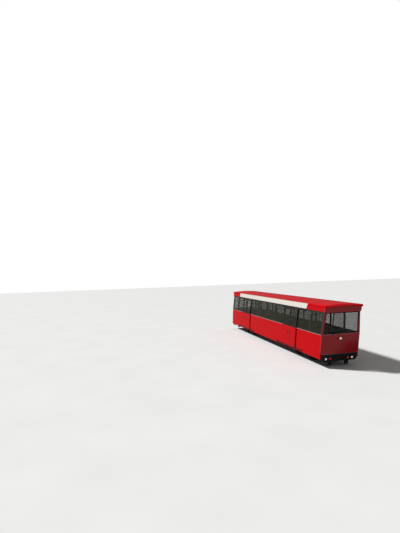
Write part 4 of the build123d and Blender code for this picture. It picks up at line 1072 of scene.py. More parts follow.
def end_block(name, end, across, up, out, depth, edge):
    """A plumb block on an end face, from pairs: across the car, and up."""
    face = end * HALF_LENGTH
    low, high = sorted((face + end * (out - depth), face + end * out))
    return soften(plumbed(new_block(name, (low, across[0], up[0]), (high, across[1], up[1]))), edge, 2)


def disc(name, place, radius, depth, along, sides=24, steps=((0.25, 0.3),)):
    """A round cap that steps or domes up: shares of its radius to go in, and of its depth to rise."""
    cap = new_round(name, place, radius, depth, along, sides)
    edit(cap)
    for way in (-WAYS[along], WAYS[along]):
        for share, rise in steps:
            pick("FACE", lambda co, face: face.normal.dot(way) > 0.9 and len(face.verts) == sides)
            step_in(radius * share, way * depth * rise)
    leave()
    return soften(cap, depth * 0.08, 1)


# Operators

class CAR_OT_finishes(bpy.types.Operator):
    """Makes the shared effects and finishes, and gives every node of the frame its own"""
    bl_idname = "car.finishes"
    bl_label = "Finishes"

    def execute(self, context):
        grime_group()
        grain_group()
        weave_group()
        for finish in FINISHES:
            finish(context.scene.car_finish)
        for name, node in nodes.items():
            kind = next(finish for finish, starts in NODE_FINISHES if name.startswith(starts))
            node.data.materials.clear()
            node.data.materials.append(bpy.data.materials[kind])
        return {"FINISHED"}


class CAR_OT_windows(bpy.types.Operator):
    """Adds the frames round the side windows and windscreens"""
    bl_idname = "car.windows"
    bl_label = "Window frames"

    def execute(self, context):
        sizes = context.scene.car_sizes
        gap, proud, half_rail, long_window = 0.004, 0.004, 0.014, 1.5
        for name, side in SIDES:
            frames = []
            for x0, x1 in WINDOWS:
                low = (x0 + gap, side * HALF_WIDTH, SILL_Z + gap)
                high = (x1 - gap, side * HALF_WIDTH, WINDOW_TOP_Z - gap)
                frame = ring("frame", low, high, sizes.window_frame, sizes.window_corner, side * proud)
                frames.append(shape(frame, lean_in(side)))
                if x1 - x0 > long_window:
                    rail = side_block("rail", side, (low[0], high[0]),
                                      (HALF_WIDTH - 0.001, HALF_WIDTH + 0.005),
                                      spread(sizes.vent_z, half_rail))
                    frames.append(shape(rail, lean_in(side)))
            frames = soften(as_one("frames", frames), 0.0015, 1)
            done("window_frames_" + name, [frames], "dark_frame")
        for name, end in ENDS:
            done("windscreen_rubber_" + name, [soften(self.screen_rubber(end), 0.004, 2)], "rubber")
        return {"FINISHED"}

    def screen_rubber(self, end):
        """The rubber round a windscreen, which narrows upwards as the body does."""
        foot, head, half_width, narrowing = 1.925, 3.140, 1.095, 0.072
        face = end * (HALF_LENGTH + 0.001)
        low, high = (face, -half_width, foot), (face, half_width, head)
        rubber = ring("rubber", low, high, 0.042, 0.09, end * 0.010)

        def narrow(co):
            return Vector((lean(co.z), -co.y * narrowing * (co.z - foot) / (head - foot), 0.0))

        return shape(rubber, narrow)


class CAR_OT_side_trims(bpy.types.Operator):
    """Adds the pressed ribs along the side panels"""
    bl_idname = "car.side_trims"
    bl_label = "Side ribs"

    def execute(self, context):
        sizes = context.scene.car_sizes
        for name, side in SIDES:
            ribs = [self.rib(x0, x1, z, side, HALF_WIDTH, sizes) for z in rib_heights(sizes)
                    for x0, x1 in beside_doors(0.945, HALF_LENGTH - 0.03)]
            done("side_ribs_" + name, ribs, "red_paint")
        return {"FINISHED"}

    @staticmethod
    def rib(x0, x1, z, side, face, sizes):
        """One rounded rib with plumb ends."""
        stand, half = sizes.rib_stand, sizes.rib / 2
        rib = side_block("rib", side, (x0, x1), (face - 0.001, face + stand), spread(z, half))
        edit(rib)
        pick("EDGE", lambda co, edge: abs(co.y) > face and edge.verts[0].co.z == edge.verts[1].co.z
             and edge.verts[0].co.y == edge.verts[1].co.y)
        bpy.ops.mesh.bevel(offset=stand * 0.9, segments=3)
        leave()
        return plumbed(rib)


class CAR_OT_leaf_trims(bpy.types.Operator):
    """Adds each door leaf's window rubber, edge rubbers and ribs"""
    bl_idname = "car.leaf_trims"
    bl_label = "Door leaf trims"

    def execute(self, context):
        sizes = context.scene.car_sizes
        foot, head, x0, x1, rim = 0.612, 3.128, 0.005, 0.945, 0.062
        pane = ring("pane", (x0 + rim, LEAF_FACE, SILL_Z + rim), (x1 - rim, LEAF_FACE, head - rim),
                    0.038, 0.06, 0.004)
        parts = [soften(shape(pane, lean_in(1)), 0.0015, 1)]
        for a, b in ((x0 - 0.004, x0 + 0.016), (x1 - 0.016, x1 + 0.010)):
            edge = new_block("edge", (a, LEAF_BACK - 0.002, foot), (b, LEAF_FACE + 0.003, head))
            edit(edge)
            cut((0.0, 0.0, SILL_Z), UP)
            leave()
            parts.append(soften(shape(edge, lean_in(1)), 0.004, 2))
        ribs = [CAR_OT_side_trims.rib(x0 + 0.022, x1 - 0.022, z, 1, LEAF_FACE, sizes)
                for z in rib_heights(sizes) if z > foot + 0.05]
        rubber = as_one("leaf_rubbers", parts)
        ribs = as_one("leaf_ribs", ribs)
        for name, centre, way, side in each_leaf():
            start = centre if way > 0 else centre - LEAF_LENGTH
            for part, finish in ((rubber, "rubber"), (ribs, "red_paint")):
                copied = twin(part, (start, 0.0, 0.0), other_side=side < 0)
                done("%s_%s" % (part.name, name), [copied], finish, "leaf_" + name)
        drop(rubber, ribs)
        return {"FINISHED"}


class CAR_OT_roof_trims(bpy.types.Operator):
    """Adds the roof's standing seams and the mouldings over its ends"""
    bl_idname = "car.roof_trims"
    bl_label = "Roof seams and mouldings"

    def execute(self, context):
        width = context.scene.car_sizes.seam
        seams = [self.band(count * BAY + lean(ROOF_BOX[1].z), width) for count in range(-5, 6)]
        done("roof_seams", seams, "roof_paint")
        done("visor_lips", [self.lip(end) for _, end in ENDS], "red_paint")
        return {"FINISHED"}

    def lip(self, end):
        """A sloping moulding over the edge of the roof's end, bowed as its crown."""
        back, out, half_width, foot, head = 0.010, 0.110, 1.095, 3.466, 3.560
        fall, crown, crown_half = 0.082, 0.058, 1.09
        tip = end * (HALF_LENGTH + 0.160)
        low, high = sorted((tip - end * back, tip + end * out))
        lip = new_block("lip", (low, -half_width, foot), (high, half_width, head))
        edit(lip)
        pick("EDGE", lambda co, edge: abs(co.y) < 0.001)
        bpy.ops.mesh.subdivide(number_cuts=15)
        pick("VERT", lambda co, vertex: co.z > head - 0.01 and (co.x - tip) * end > 0.0)
        move((0.0, 0.0, -fall))
        leave()

        def bow(co):
            rise = crown * (1.0 - (co.y / crown_half) ** 2)
            return Vector((lean(co.z + rise), 0.0, rise))

        return soften(shape(lip, bow), 0.002, 2)

    def band(self, x, width):
        """A thin strip of the roof's own outer skin, raised a little."""
        strip = nodes["roof"].copy()
        strip.data = nodes["roof"].data.copy()
        strip.hide_render = False
        for key in list(strip.keys()):
            del strip[key]
        bpy.context.scene.collection.objects.link(strip)
        edit(strip)
        bpy.ops.mesh.remove_doubles(threshold=0.00005)
        for way in (-1, 1):
            bpy.ops.mesh.select_all(action="SELECT")
            place = (x + way * width / 2, 0.0, ROOF_BOX[1].z)
            bpy.ops.mesh.bisect(plane_co=place, plane_no=LEVEL * way, clear_outer=True)
        inner, edge = ROOF_BOX[0].z + 0.002, ROOF_BOX[1].y - 0.002
        pick("FACE", lambda co, face: face.normal.z < 0.05 and abs(co.y) < edge or co.z < inner)
        bpy.ops.mesh.delete(type="FACE")
        bpy.ops.mesh.select_all(action="SELECT")
        bpy.ops.mesh.delete_loose()
        leave()
        skin = strip.modifiers.new("skin", "SOLIDIFY")
        skin.thickness = 0.005
        skin.offset = 1.0
        bpy.ops.object.modifier_apply(modifier=skin.name)
        return strip


class CAR_OT_sign_trims(bpy.types.Operator):
    """Adds the metal edging round the sign boards, with a cover along the top"""
    bl_idname = "car.sign_trims"
    bl_label = "Sign board edging"

    def execute(self, context):
        low, high = SIGN_BOX[0].z, SIGN_BOX[1].z
        slant = (high - low) * math.tan(math.radians(32.0))
        x0, x1, face = SIGN_BOX[0].x, SIGN_BOX[1].x - slant, SIGN_BOX[1].y
        edging = ring("edging", (x0, face, low), (x1, face, high), 0.012, 0.0, 0.003)
        shape(edging, lambda co: Vector(((co.z - low) / (high - low) * slant, 0.0, 0.0)))
        cover = new_block("cover", (x0 + slant, face - 0.034, high - 0.002),
                          (x1 + slant, face + 0.004, high + 0.003))
        edging = as_one("edging", [soften(edging, 0.001, 1), soften(cover, 0.0015, 2)])
        done("sign_edging", [edging, twin(edging, other_side=True)], "stainless")
        return {"FINISHED"}


class CAR_OT_lamps(bpy.types.Operator):
    """Replaces the lamps by domed lenses in bezels"""
    bl_idname = "car.lamps"
    bl_label = "Lamps"

    def execute(self, context):
        for name, finish, ring_finish, places, radius, stand, share in LAMPS:
            lamps = [self.lamp(end, on_end(end, y, z), radius, stand, share)
                     for _, end in ENDS for y, z in places]
            done(name + "_lenses", [lens for lens, _ in lamps], finish, replaced=(name,))
            done(name + "_bezels", [bezel for _, bezel in lamps], ring_finish)
        return {"FINISHED"}

    def lamp(self, end, place, radius, stand, share):
        """A domed lens and the ring that holds it."""
        out = LEVEL * end
        lens = new_round("lens", place + out * stand * 0.35, radius * share, stand * 0.7 + 0.006, "LEVEL")
        edit(lens)
        pick_faces(out)
        for inwards, rise in ((0.12, 0.006), (0.2, 0.005), (0.3, 0.003)):
            step_in(radius * inwards, out * rise)
        leave()
        bezel = new_round("bezel", place + out * stand * 0.5, radius * 1.14, stand + 0.004, "LEVEL")
        edit(bezel)
        pick_faces(out)
        push_in(radius * (1.10 - share), -out * stand * 0.8)
        leave()
        return lens, soften(bezel, 0.003, 2)


class CAR_OT_springs(bpy.types.Operator):
    """Adds a coil spring round each damper, and covers and bolts on the axle boxes"""
    bl_idname = "car.springs"
    bl_label = "Springs and axle box covers"

    def execute(self, context):
        sizes = context.scene.car_sizes
        for name, end in ENDS:
            places = [(end * BOGIE_X + axle * HALF_BASE, side) for axle in (-1, 1) for side in (-1, 1)]
            coils = [self.coil(x, side, sizes) for x, side in places]
            covers = [self.cover(x, side) for x, side in places]
            done("coil_springs_" + name, coils, "under_paint", "bogie_" + name)
            done("axle_box_covers_" + name, covers, "under_paint", "bogie_" + name)
        return {"FINISHED"}

    def coil(self, x, side, sizes):
        """A round bar wound from the axle box up to the bogie frame."""
        foot, head, turns = 0.375, 0.4606, 4
        bar = sizes.spring_bar
        bpy.ops.object.select_all(action="DESELECT")
        bpy.ops.mesh.primitive_circle_add(
            vertices=8, radius=bar / 2, location=(sizes.spring_radius, 0.0, 0.0), rotation=ALONG["Y"])
        coil = set_down(bpy.context.object)
        winding = coil.modifiers.new("winding", "SCREW")
        winding.angle = 2 * math.pi
        winding.iterations = turns
        winding.screw_offset = (head - foot - bar) / turns
        winding.steps = winding.render_steps = 20
        bpy.ops.object.modifier_apply(modifier=winding.name)
        edit(coil)
        pick("EDGE", lambda co, edge: edge.is_boundary)
        bpy.ops.mesh.edge_face_add()
        leave()
        coil.location = (x, side * BOGIE_Y, foot + bar / 2)
        return set_down(coil)

    def cover(self, x, side):
        """A round cover with a domed middle and six bolts."""
        face = side * (BOGIE_Y + 0.060)
        out = WAYS["Y"] * side
        cover = new_round("cover", (x, face + side * 0.005, AXLE_Z), 0.070, 0.014, "Y")
        edit(cover)
        pick_faces(out)
        push_in(0.022, out * 0.012)
        bpy.ops.mesh.inset(thickness=0.010)
        leave()
        parts = [soften(cover, 0.002, 1)]
        for a, b in around([math.radians(60.0 * step + 30.0) for step in range(6)], 0.059):
            bolt = new_round("bolt", (x + a, face + side * 0.015, AXLE_Z + b), 0.008, 0.010, "Y", sides=6)
            parts.append(soften(bolt, 0.001, 1))
        return as_one("cover", parts)


class CAR_OT_seat_pads(bpy.types.Operator):
    """Replaces the seat and back pads by stitched cushions, two to a bench"""
    bl_idname = "car.seat_pads"
    bl_label = "Seat cushions"

    def execute(self, context):
        half_seat, middle, lift = 0.182, 0.646, 0.001
        faces = 2200
        seat = cushion("seat", (0.364, 0.400, 0.050), 0.055, 0.010, ((0, -0.115), (1, 0.0)), faces)
        seat_edge = piping("edge", (0.352, 0.388), 0.050, 0.034)
        back = cushion("back", (0.462, 0.400, 0.038), 0.060, 0.009, ((0, 0.060), (0, -0.140)), faces)
        back_edge = piping("edge", (0.450, 0.388), 0.056, 0.025)
        seat_at = on_tread(0, SEAT_LEVEL + half_seat, plumb=SEAT_PLUMB - half_seat * SEAT_FALL + lift)
        back_at = on_tread(0, BACK_LEVEL + (middle - BACK_PLUMB) * BACK_FALL - lift, plumb=middle)
        for piece in (seat, seat_edge):
            stand(piece, seat_at, math.atan(SEAT_FALL))
        for piece in (back, back_edge):
            stand(piece, back_at, math.atan(BACK_FALL) - math.pi / 2)
        for name, pad, edge in (("seat_pads", seat, seat_edge), ("back_pads", back, back_edge)):
            for side_name, side in SIDES:
                places = [(STEP_PITCH * step, side * y, 0.0) for step in SEAT_STEPS for y in (0.447, 0.853)]
                pads = done("%s_%s" % (name, side_name), [twin(pad, place) for place in places],
                            "seat_fabric", replaced=("seat_cushions",), smooth=80.0)
                done("%s_piping_%s" % (name, side_name), [twin(edge, place) for place in places],
                     "seat_fabric", smooth=80.0)
        drop(seat, seat_edge, back, back_edge)
        return {"FINISHED"}


class CAR_OT_stools(bpy.types.Operator):
    """Replaces the drivers' stools by a column on a bolted foot, a round cushion and a padded back"""
    bl_idname = "car.stools"
    bl_label = "Drivers' stools"

    def execute(self, context):
        frames, pads = [], []
        for step, level, end in ((18, 0.600, 1), (1, 0.210, -1)):
            place = on_tread(step, level, 0.480)
            for made, piece in zip((frames, pads), self.stool(end)):
                made.append(stand(piece, place))
        done("stool_stands", frames, "black_paint", replaced=("driver_seats",))
        pads = done("stool_pads", pads, "seat_fabric", replaced=("driver_seats",), smooth=80.0)
        return {"FINISHED"}

    def stool(self, end):
        """The stand and the cushions of one stool, made at the origin and facing its desk."""
        neck, plate_z = 0.260, 0.418
        foot = new_round("foot", (0.0, 0.0, 0.008), 0.150, 0.016, sides=40)
        edit(foot)
        pick_faces(UP)
        push_in(0.060, UP * 0.010)
        push_in(0.030, UP * 0.020)
        leave()
        column = new_round("column", (0.0, 0.0, 0.230), 0.028, 0.370, sides=24)
        edit(column)
        cut((0.0, 0.0, neck), UP)
        pick("VERT", lambda co, vertex: co.z > neck + 0.002)
        bpy.ops.transform.resize(value=(0.72, 0.72, 1.0))
        leave()
        plate = new_round("plate", (0.0, 0.0, plate_z), 0.150, 0.014, sides=32)
        strap = new_block("strap", (-0.012, -0.058, 0.4055), (0.174, 0.058, 0.4135))
        upright = new_block("upright", (0.168, -0.060, 0.405), (0.176, 0.060, 0.860))
        back_plate = new_block("back_plate", (0.164, -0.160, 0.600), (0.172, 0.160, 0.890))
        edit(back_plate)
        pick_across(0)
        bpy.ops.mesh.bevel(offset=0.060, segments=5)
        leave()
        parts = [soften(part, 0.003, 2) for part in (foot, column, plate, strap, upright, back_plate)]
        parts += bolts([(a, b, 0.020) for a, b in around((0.8, 2.4, 3.9, 5.5), 0.120)], 0.009, 0.010, "Z")
        frame = as_one("frame", parts)
        seat = new_round("seat", (0.0, 0.0, 0.461), 0.168, 0.052, sides=40)
        edit(seat)
        pick("EDGE", lambda co, edge: edge.verts[0].co.z == edge.verts[1].co.z)
        bpy.ops.mesh.bevel(offset=0.012, segments=2)
        leave()
        swell(seat, 0.010, 0.010)
        rest = cushion("rest", (0.270, 0.310, 0.034), 0.060, 0.008, ((0, 0.0),), 2600)
        rest.matrix_world = Matrix.Translation((0.163, 0.0, 0.745)) @ Matrix.Rotation(-math.pi / 2, 4, "Y")
        soft = as_one("soft", [seat, set_down(rest)])
        if end > 0:
            for piece in (frame, soft):
                piece.scale.x = -1.0
                set_down(piece)
        return frame, soft


class CAR_OT_bogie_trims(bpy.types.Operator):
    """Adds hub caps to the wheels, and brake shoes, keepers, pole shoes, pipes and bolts to the bogies"""
    bl_idname = "car.bogie_trims"
    bl_label = "Bogie fittings"

    def execute(self, context):
        bolt_y, high_z, low_z = 0.793, 0.548, 0.430
        high_row = (-1.02, -0.78, -0.40, -0.24, 0.24, 0.40, 0.78, 1.02)
        low_row = (-0.30, -0.15, 0.15, 0.30)
        webs, treads = ((-1, -0.552), (1, 0.578)), ((-1, 0.322), (1, 0.300))
        for name, end in ENDS:
            middle = end * BOGIE_X
            fittings = []
            for count, axle in ((1, -1), (2, 1)):
                x = middle + axle * HALF_BASE
                caps = [self.hub(x, side, web) for side, web in webs]
                wheelset = "%s_%d" % (name, count)
                done("hub_caps_" + wheelset, caps, "wheel_steel", "wheelset_" + wheelset)
                for side, tread in treads:
                    fittings.append(self.shoe(x, -axle, side, tread))
                    fittings.append(self.keeper(x, side))
            for side in (-1, 1):
                fittings.append(self.pipe(middle, side))
                fittings += self.pole_shoes(middle, side)
                places = [(middle + x, side * bolt_y, high_z) for x in high_row]
                places += [(middle + x, side * bolt_y, low_z) for x in low_row]
                fittings += bolts(places, 0.014, 0.012, "Y")
            done("bogie_fittings_" + name, fittings, "under_paint", "bogie_" + name)
        return {"FINISHED"}

    def hub(self, x, side, face):
        """A stepped hub ring with bolts round it."""
        middle, steps = (x, face + side * 0.008, AXLE_Z), ((0.22, 0.0), (0.12, 0.55))
        cap = disc("hub", middle, 0.115, 0.022, "Y", 32, steps)
        places = [(x + a, face + side * 0.022, AXLE_Z + b)
                  for a, b in around([math.radians(45.0 * step) for step in range(8)], 0.098)]
        return as_one("hub", [cap] + bolts(places, 0.010, 0.010, "Y"))

    def shoe(self, x, way, side, tread):
        """A brake shoe curved round the wheel, in its holder on a hanger."""
        inner, sweep, hanger_y = tread + 0.008, math.radians(38.0), side * 0.533
        shoe = side_block("shoe", side, (x + way * inner, x + way * (inner + 0.036)), (0.480, 0.586),
                          (0.290, 0.2905))
        edit(shoe)
        pick_faces(UP)
        bpy.ops.mesh.spin(steps=8, angle=-way * sweep, center=(x, 0.0, AXLE_Z), axis=(0.0, 1.0, 0.0))
        leave()
        along, up = around((sweep / 2,), inner + 0.030)[0]
        middle = Vector((x + way * along, hanger_y, AXLE_Z + up))
        points = [middle, middle + Vector((way * 0.050, 0.0, 0.030)),
                  middle + Vector((way * 0.060, 0.0, 0.090)),
                  Vector((x + way * 0.470, hanger_y, 0.545)), Vector((x + way * 0.640, hanger_y, 0.560))]
        return as_one("shoe", [soften(shoe, 0.003, 1), tube("hanger", points, 0.016)])

    def keeper(self, x, side):
        """The strap under an axle box that ties the horns."""
        half, box_half = 0.150, 0.104
        strap = side_block("strap", side, spread(x, half), (0.738, 0.782), (0.184, 0.200))
        edit(strap)
        for bound in (-box_half, box_half):
            cut((x + bound, 0.0, 0.0), WAYS["X"])
        pick("FACE", lambda co, face: face.normal.z > 0.9 and abs(co.x - x) > box_half)
        bpy.ops.mesh.extrude_region_move(TRANSFORM_OT_translate={"value": (0.0, 0.0, 0.044)})
        leave()
        return soften(strap, 0.002, 1)

    def pipe(self, x, side):
        """A brake pipe along one side frame, down to both axle boxes."""
        half = [(-0.88, 0.828, 0.330), (-0.88, 0.828, 0.420), (-0.86, 0.812, 0.520), (-0.70, 0.806, 0.500),
                (-0.30, 0.806, 0.480)]
        points = half + [(-a, b, c) for a, b, c in reversed(half)]
        parts = [tube("pipe", [(x + a, side * b, c) for a, b, c in points], 0.008, 6)]
        for a in (-0.55, 0.0, 0.55):
            clip = side_block("clip", side, spread(x + a, 0.012), (0.788, 0.818), (0.462, 0.500))
            parts.append(soften(clip, 0.002, 1))
        return as_one("pipe", parts)

    def pole_shoes(self, x, side):
        """The rail brake's pole shoes and its side bolts."""
        start, pitch, gap = x - 0.240, 0.080, 0.004
        pole = side_block("pole", side, (start + gap, start + pitch - gap), (0.493, 0.573), (0.048, 0.062))
        shoes = [soften(pole, 0.002, 1)] + [twin(pole, (pitch * count, 0.0, 0.0)) for count in range(1, 6)]
        places = [(x + a, side * 0.617, z) for a in (-0.20, -0.07, 0.07, 0.20) for z in (0.110, 0.340)]
        return shoes + bolts(places, 0.012, 0.012, "Y")


class CAR_OT_underframe_trims(bpy.types.Operator):
    """Adds lids, louvres and latches to the equipment boxes, the air tank with its straps, and pipes"""
    bl_idname = "car.underframe_trims"
    bl_label = "Underframe fittings"

    def execute(self, context):
        boxes, margin = ((-1, -2.5, -0.9), (1, -2.5, -1.3), (1, 0.9, 2.5)), 0.025
        lids, latches = [], []
        for side, x0, x1 in boxes:
            middle = (x0 + x1) / 2
            for start, stop, louvred in ((x0, middle, False), (middle, x1, True)):
                lid, catches = self.lid(start + margin, stop - margin, side, louvred)
                lids.append(lid)
                latches += catches
        done("equipment_lids", lids, "under_paint")
        done("equipment_latches", latches, "stainless")
        done("air_tank", self.tank(), "under_paint")
        done("underframe_pipes", self.pipes(), "under_paint")
        return {"FINISHED"}

    def tank(self):
        """The air tank between its two straps."""
        y, z = -0.620, 0.5906
        dome = ((0.12, 0.010), (0.22, 0.009), (0.3, 0.005))
        parts = [disc("tank", (BAY, y, z), 0.0945, 1.102, "X", 32, dome)]
        for x in spread(BAY, 0.301):
            parts.append(soften(new_round("strap", (x, y, z), 0.0985, 0.045, "X", 32), 0.002, 1))
            parts.append(new_block("ear", (x - 0.022, y - 0.100, 0.660), (x + 0.022, y - 0.088, 0.6806)))
            parts += bolts([(x, y - 0.106, 0.670)], 0.009, 0.014, "Y")
        return parts

    def pipes(self):
        """Two pipes along each side, in clamps that stay clear of the bogies."""
        line_y, line_z, pitch, line_x = 0.682, 0.815, 1.1, (-7.3, -6.0, 0.0, 6.0, 7.3)
        made = []
        for side in (-1, 1):
            for z in (line_z, line_z - 0.034):
                points = [(x, side * line_y, z) for x in line_x]
                made.append(tube("pipe", points, 0.011, 8))
            for count in range(-6, 7):
                if abs(abs(count * pitch) - BOGIE_X) < 0.3:
                    continue
                x = count * pitch + 0.4
                clamp = side_block("clamp", side, spread(x, 0.015), (line_y - 0.018, line_y + 0.016),
                                   (line_z - 0.050, line_z + 0.017))
                made.append(soften(clamp, 0.003, 1))
        return made

    def lid(self, x0, x1, side, louvred):
        """One lid with a pressed field or louvres, its latches and its hinges."""
        box_y, foot, head = 1.0, 0.515, 0.666
        out = WAYS["Y"] * side
        lid = side_block("lid", side, (x0, x1), (box_y - 0.002, box_y + 0.010), (foot, head))
        edit(lid)
        pick_faces(out)
        bpy.ops.mesh.inset(thickness=0.018)
        step_in(0.004, -out * 0.004)
        leave()
        parts = [soften(lid, 0.0015, 1)]
        for z in [0.550 + 0.026 * count for count in range(4)] if louvred else ():
            slat = side_block("slat", side, (x0 + 0.060, x1 - 0.060), (box_y + 0.002, box_y + 0.014),
                              (z, z + 0.014))
            edit(slat)
            pick("EDGE", lambda co, edge: co.z > z + 0.012 and abs(co.y) > box_y + 0.010)
            move(-out * 0.010)
            leave()
            parts.append(slat)
        catches = []
        for x in (x0 + 0.12, x1 - 0.12):
            place = (x, side * (box_y + 0.016), foot + 0.017)
            catches.append(disc("catch", place, 0.013, 0.014, "Y", 16, ((0.3, -0.2),)))
            hinge = new_round("hinge", (x, side * (box_y + 0.010), head + 0.002), 0.006, 0.070, "X", 10)
            catches.append(soften(hinge, 0.001, 1))
        return as_one("lid", parts), catches


class CAR_OT_end_trims(bpy.types.Operator):
    """Adds buffing strips, bright strips, sockets, wiper caps and nozzles to the ends, and pale sill strips
    that are a painted highlight
    """
    bl_idname = "car.end_trims"
    bl_label = "End fittings"

    def execute(self, context):
        strip_z, sill_z, foot_z = (0.655, 0.705), (1.880, 1.896), (0.738, 0.748)
        strip_spans = ((-1.060, -0.980), (-0.985, 0.985), (0.980, 1.060))
        bolt_row = (-0.90, -0.60, -0.30, 0.0, 0.30, 0.60, 0.90)
        wipers, nozzles = (-0.540, -0.120), (-0.70, 0.70)
        socket_y, socket_z, pivot_z, nozzle_z = -0.190, 1.650, 1.911, 1.916
        strips, bright, dark = [], [], []
        for _, end in ENDS:
            strips += [end_block("strip", end, span, strip_z, 0.018, 0.020, 0.008) for span in strip_spans]
            places = [on_end(end, y, sum(strip_z) / 2, 0.020) for y in bolt_row]
            strips += bolts(places, 0.010, 0.008, "LEVEL", 8)
            bright.append(end_block("sill", end, (-1.130, 1.130), sill_z, 0.009, 0.011, 0.003))
            bright.append(end_block("foot", end, (-1.080, 1.080), foot_z, 0.006, 0.008, 0.002))
            socket = on_end(end, end * socket_y, socket_z, 0.008)
            dark.append(disc("socket", socket, 0.030, 0.020, "LEVEL", 20, ((0.3, -0.25),)))
            for y in wipers:
                pivot = on_end(end, y, pivot_z, 0.028)
                dark.append(disc("pivot", pivot, 0.026, 0.030, "LEVEL", 20, ((0.25, 0.1), (0.3, 0.1))))
            for y in nozzles:
                dark.append(disc("nozzle", on_end(end, y, nozzle_z, 0.008), 0.009, 0.018, "LEVEL", 12))
        done("buffing_strips", strips, "rubber")
        done("end_strips", bright, "stainless")
        done("end_sockets", dark, "rubber")
        # Pale pink strips along the sills, whose paleness is a painted highlight on the sill line.
        rails = [soften(plumbed(side_block("rail", side, span, (HALF_WIDTH - 0.002, HALF_WIDTH + 0.009),
                                           (SILL_Z - 0.016, SILL_Z + 0.002))), 0.003, 2)
                 for _, side in SIDES for span in beside_doors(DOOR_HALF + 0.02, INSIDE_X)]
        done("sill_strips", rails, "bright_strip")
        return {"FINISHED"}


class CAR_OT_floor_trims(bpy.types.Operator):
    """Adds nosings to the treads, foot plates and grips to the benches, and flanges to the poles"""
    bl_idname = "car.floor_trims"
    bl_label = "Floor fittings"

    def execute(self, context):
        nosing, flange = self.nosing(), self.flange()
        noses = [twin(nosing, (STEP_PITCH * step, 0.0, 0.0)) for step in range(1, 20)]
        done("step_nosings", noses, "stainless")
        flanges = []
        for step, level in POLES:
            for side in (-1, 1):
                place = on_tread(step, level, side * POLE_Y)
                flanges.append(stand(twin(flange), place))
                collar = new_round("collar", (0.0, 0.0, 1.05), 0.0205, 0.045, sides=24)
                flanges.append(stand(soften(collar, 0.002, 1), place))
        done("pole_flanges", flanges, "stainless")
        rise, reach, grip_out, grip_up = 0.034, 0.045, 0.105, 0.898
        grip = tube("grip", [(0.0, -reach, 0.0), (0.0, -reach, rise), (0.0, -0.020, rise + 0.010),
                             (0.0, 0.020, rise + 0.010), (0.0, reach, rise), (0.0, reach, 0.0)], 0.010, 10)
        plate = soften(new_block("foot", (-0.110, -0.105, 0.0), (0.110, 0.105, 0.008)), 0.003, 2)
        places = [(x, y, 0.010) for x in (-0.085, 0.085) for y in (-0.085, 0.085)]
        foot = as_one("foot", [plate] + bolts(places, 0.009, 0.008, "Z"))
        grips, feet = [], []
        for step in SEAT_STEPS:
            for side in (-1, 1):
                top = on_tread(step, BACK_LEVEL + grip_out, side * POLE_Y, grip_up)
                grips.append(stand(twin(grip), top, math.atan(BACK_FALL)))
                feet.append(stand(twin(foot), on_tread(step, PEDESTAL, side * SEAT_Y)))
        done("seat_grips", grips, "stainless")
        done("seat_feet", feet, "black_paint")
        drop(nosing, flange, grip, foot)
        return {"FINISHED"}

    def flange(self):
        """A screwed flange with a raised neck, made at the origin."""
        flange = new_round("flange", (0.0, 0.0, 0.006), 0.045, 0.012, sides=28)
        edit(flange)
        pick_faces(UP)
        push_in(0.018, UP * 0.016)
        leave()
        flange = soften(flange, 0.002, 2)
        screws = bolts([(a, b, 0.013) for a, b in around((0.8, 2.9, 5.0), 0.035)], 0.004, 0.004, "Z", 8)
        return as_one("flange", [flange] + screws)

    def nosing(self):
        """A ribbed angle over one tread's edge, made at the first tread."""
        half, thick = 1.120, 0.004
        angle = new_block("nosing", (-thick, -half, -0.032), (0.052, half, thick))
        edit(angle)
        cut((0.0, 0.0, 0.0), UP)
        cut((0.0, 0.0, 0.0), WAYS["X"])
        pick("VERT", lambda co, vertex: co.x > 0.01 and co.z < -0.01)
        bpy.ops.mesh.delete(type="VERT")
        bpy.ops.mesh.select_all(action="SELECT")
        bpy.ops.mesh.fill_holes(sides=0)
        leave()
        rib_half, rib_foot, rib_head = half - 0.002, thick - 0.001, thick + 0.0025
        ribs = [new_block("rib", (x, -rib_half, rib_foot), (x + 0.005, rib_half, rib_head))
                for x in (0.008, 0.019, 0.030, 0.041)]
        return stand(as_one("nosing", [angle] + ribs), on_tread(0, 0.0))


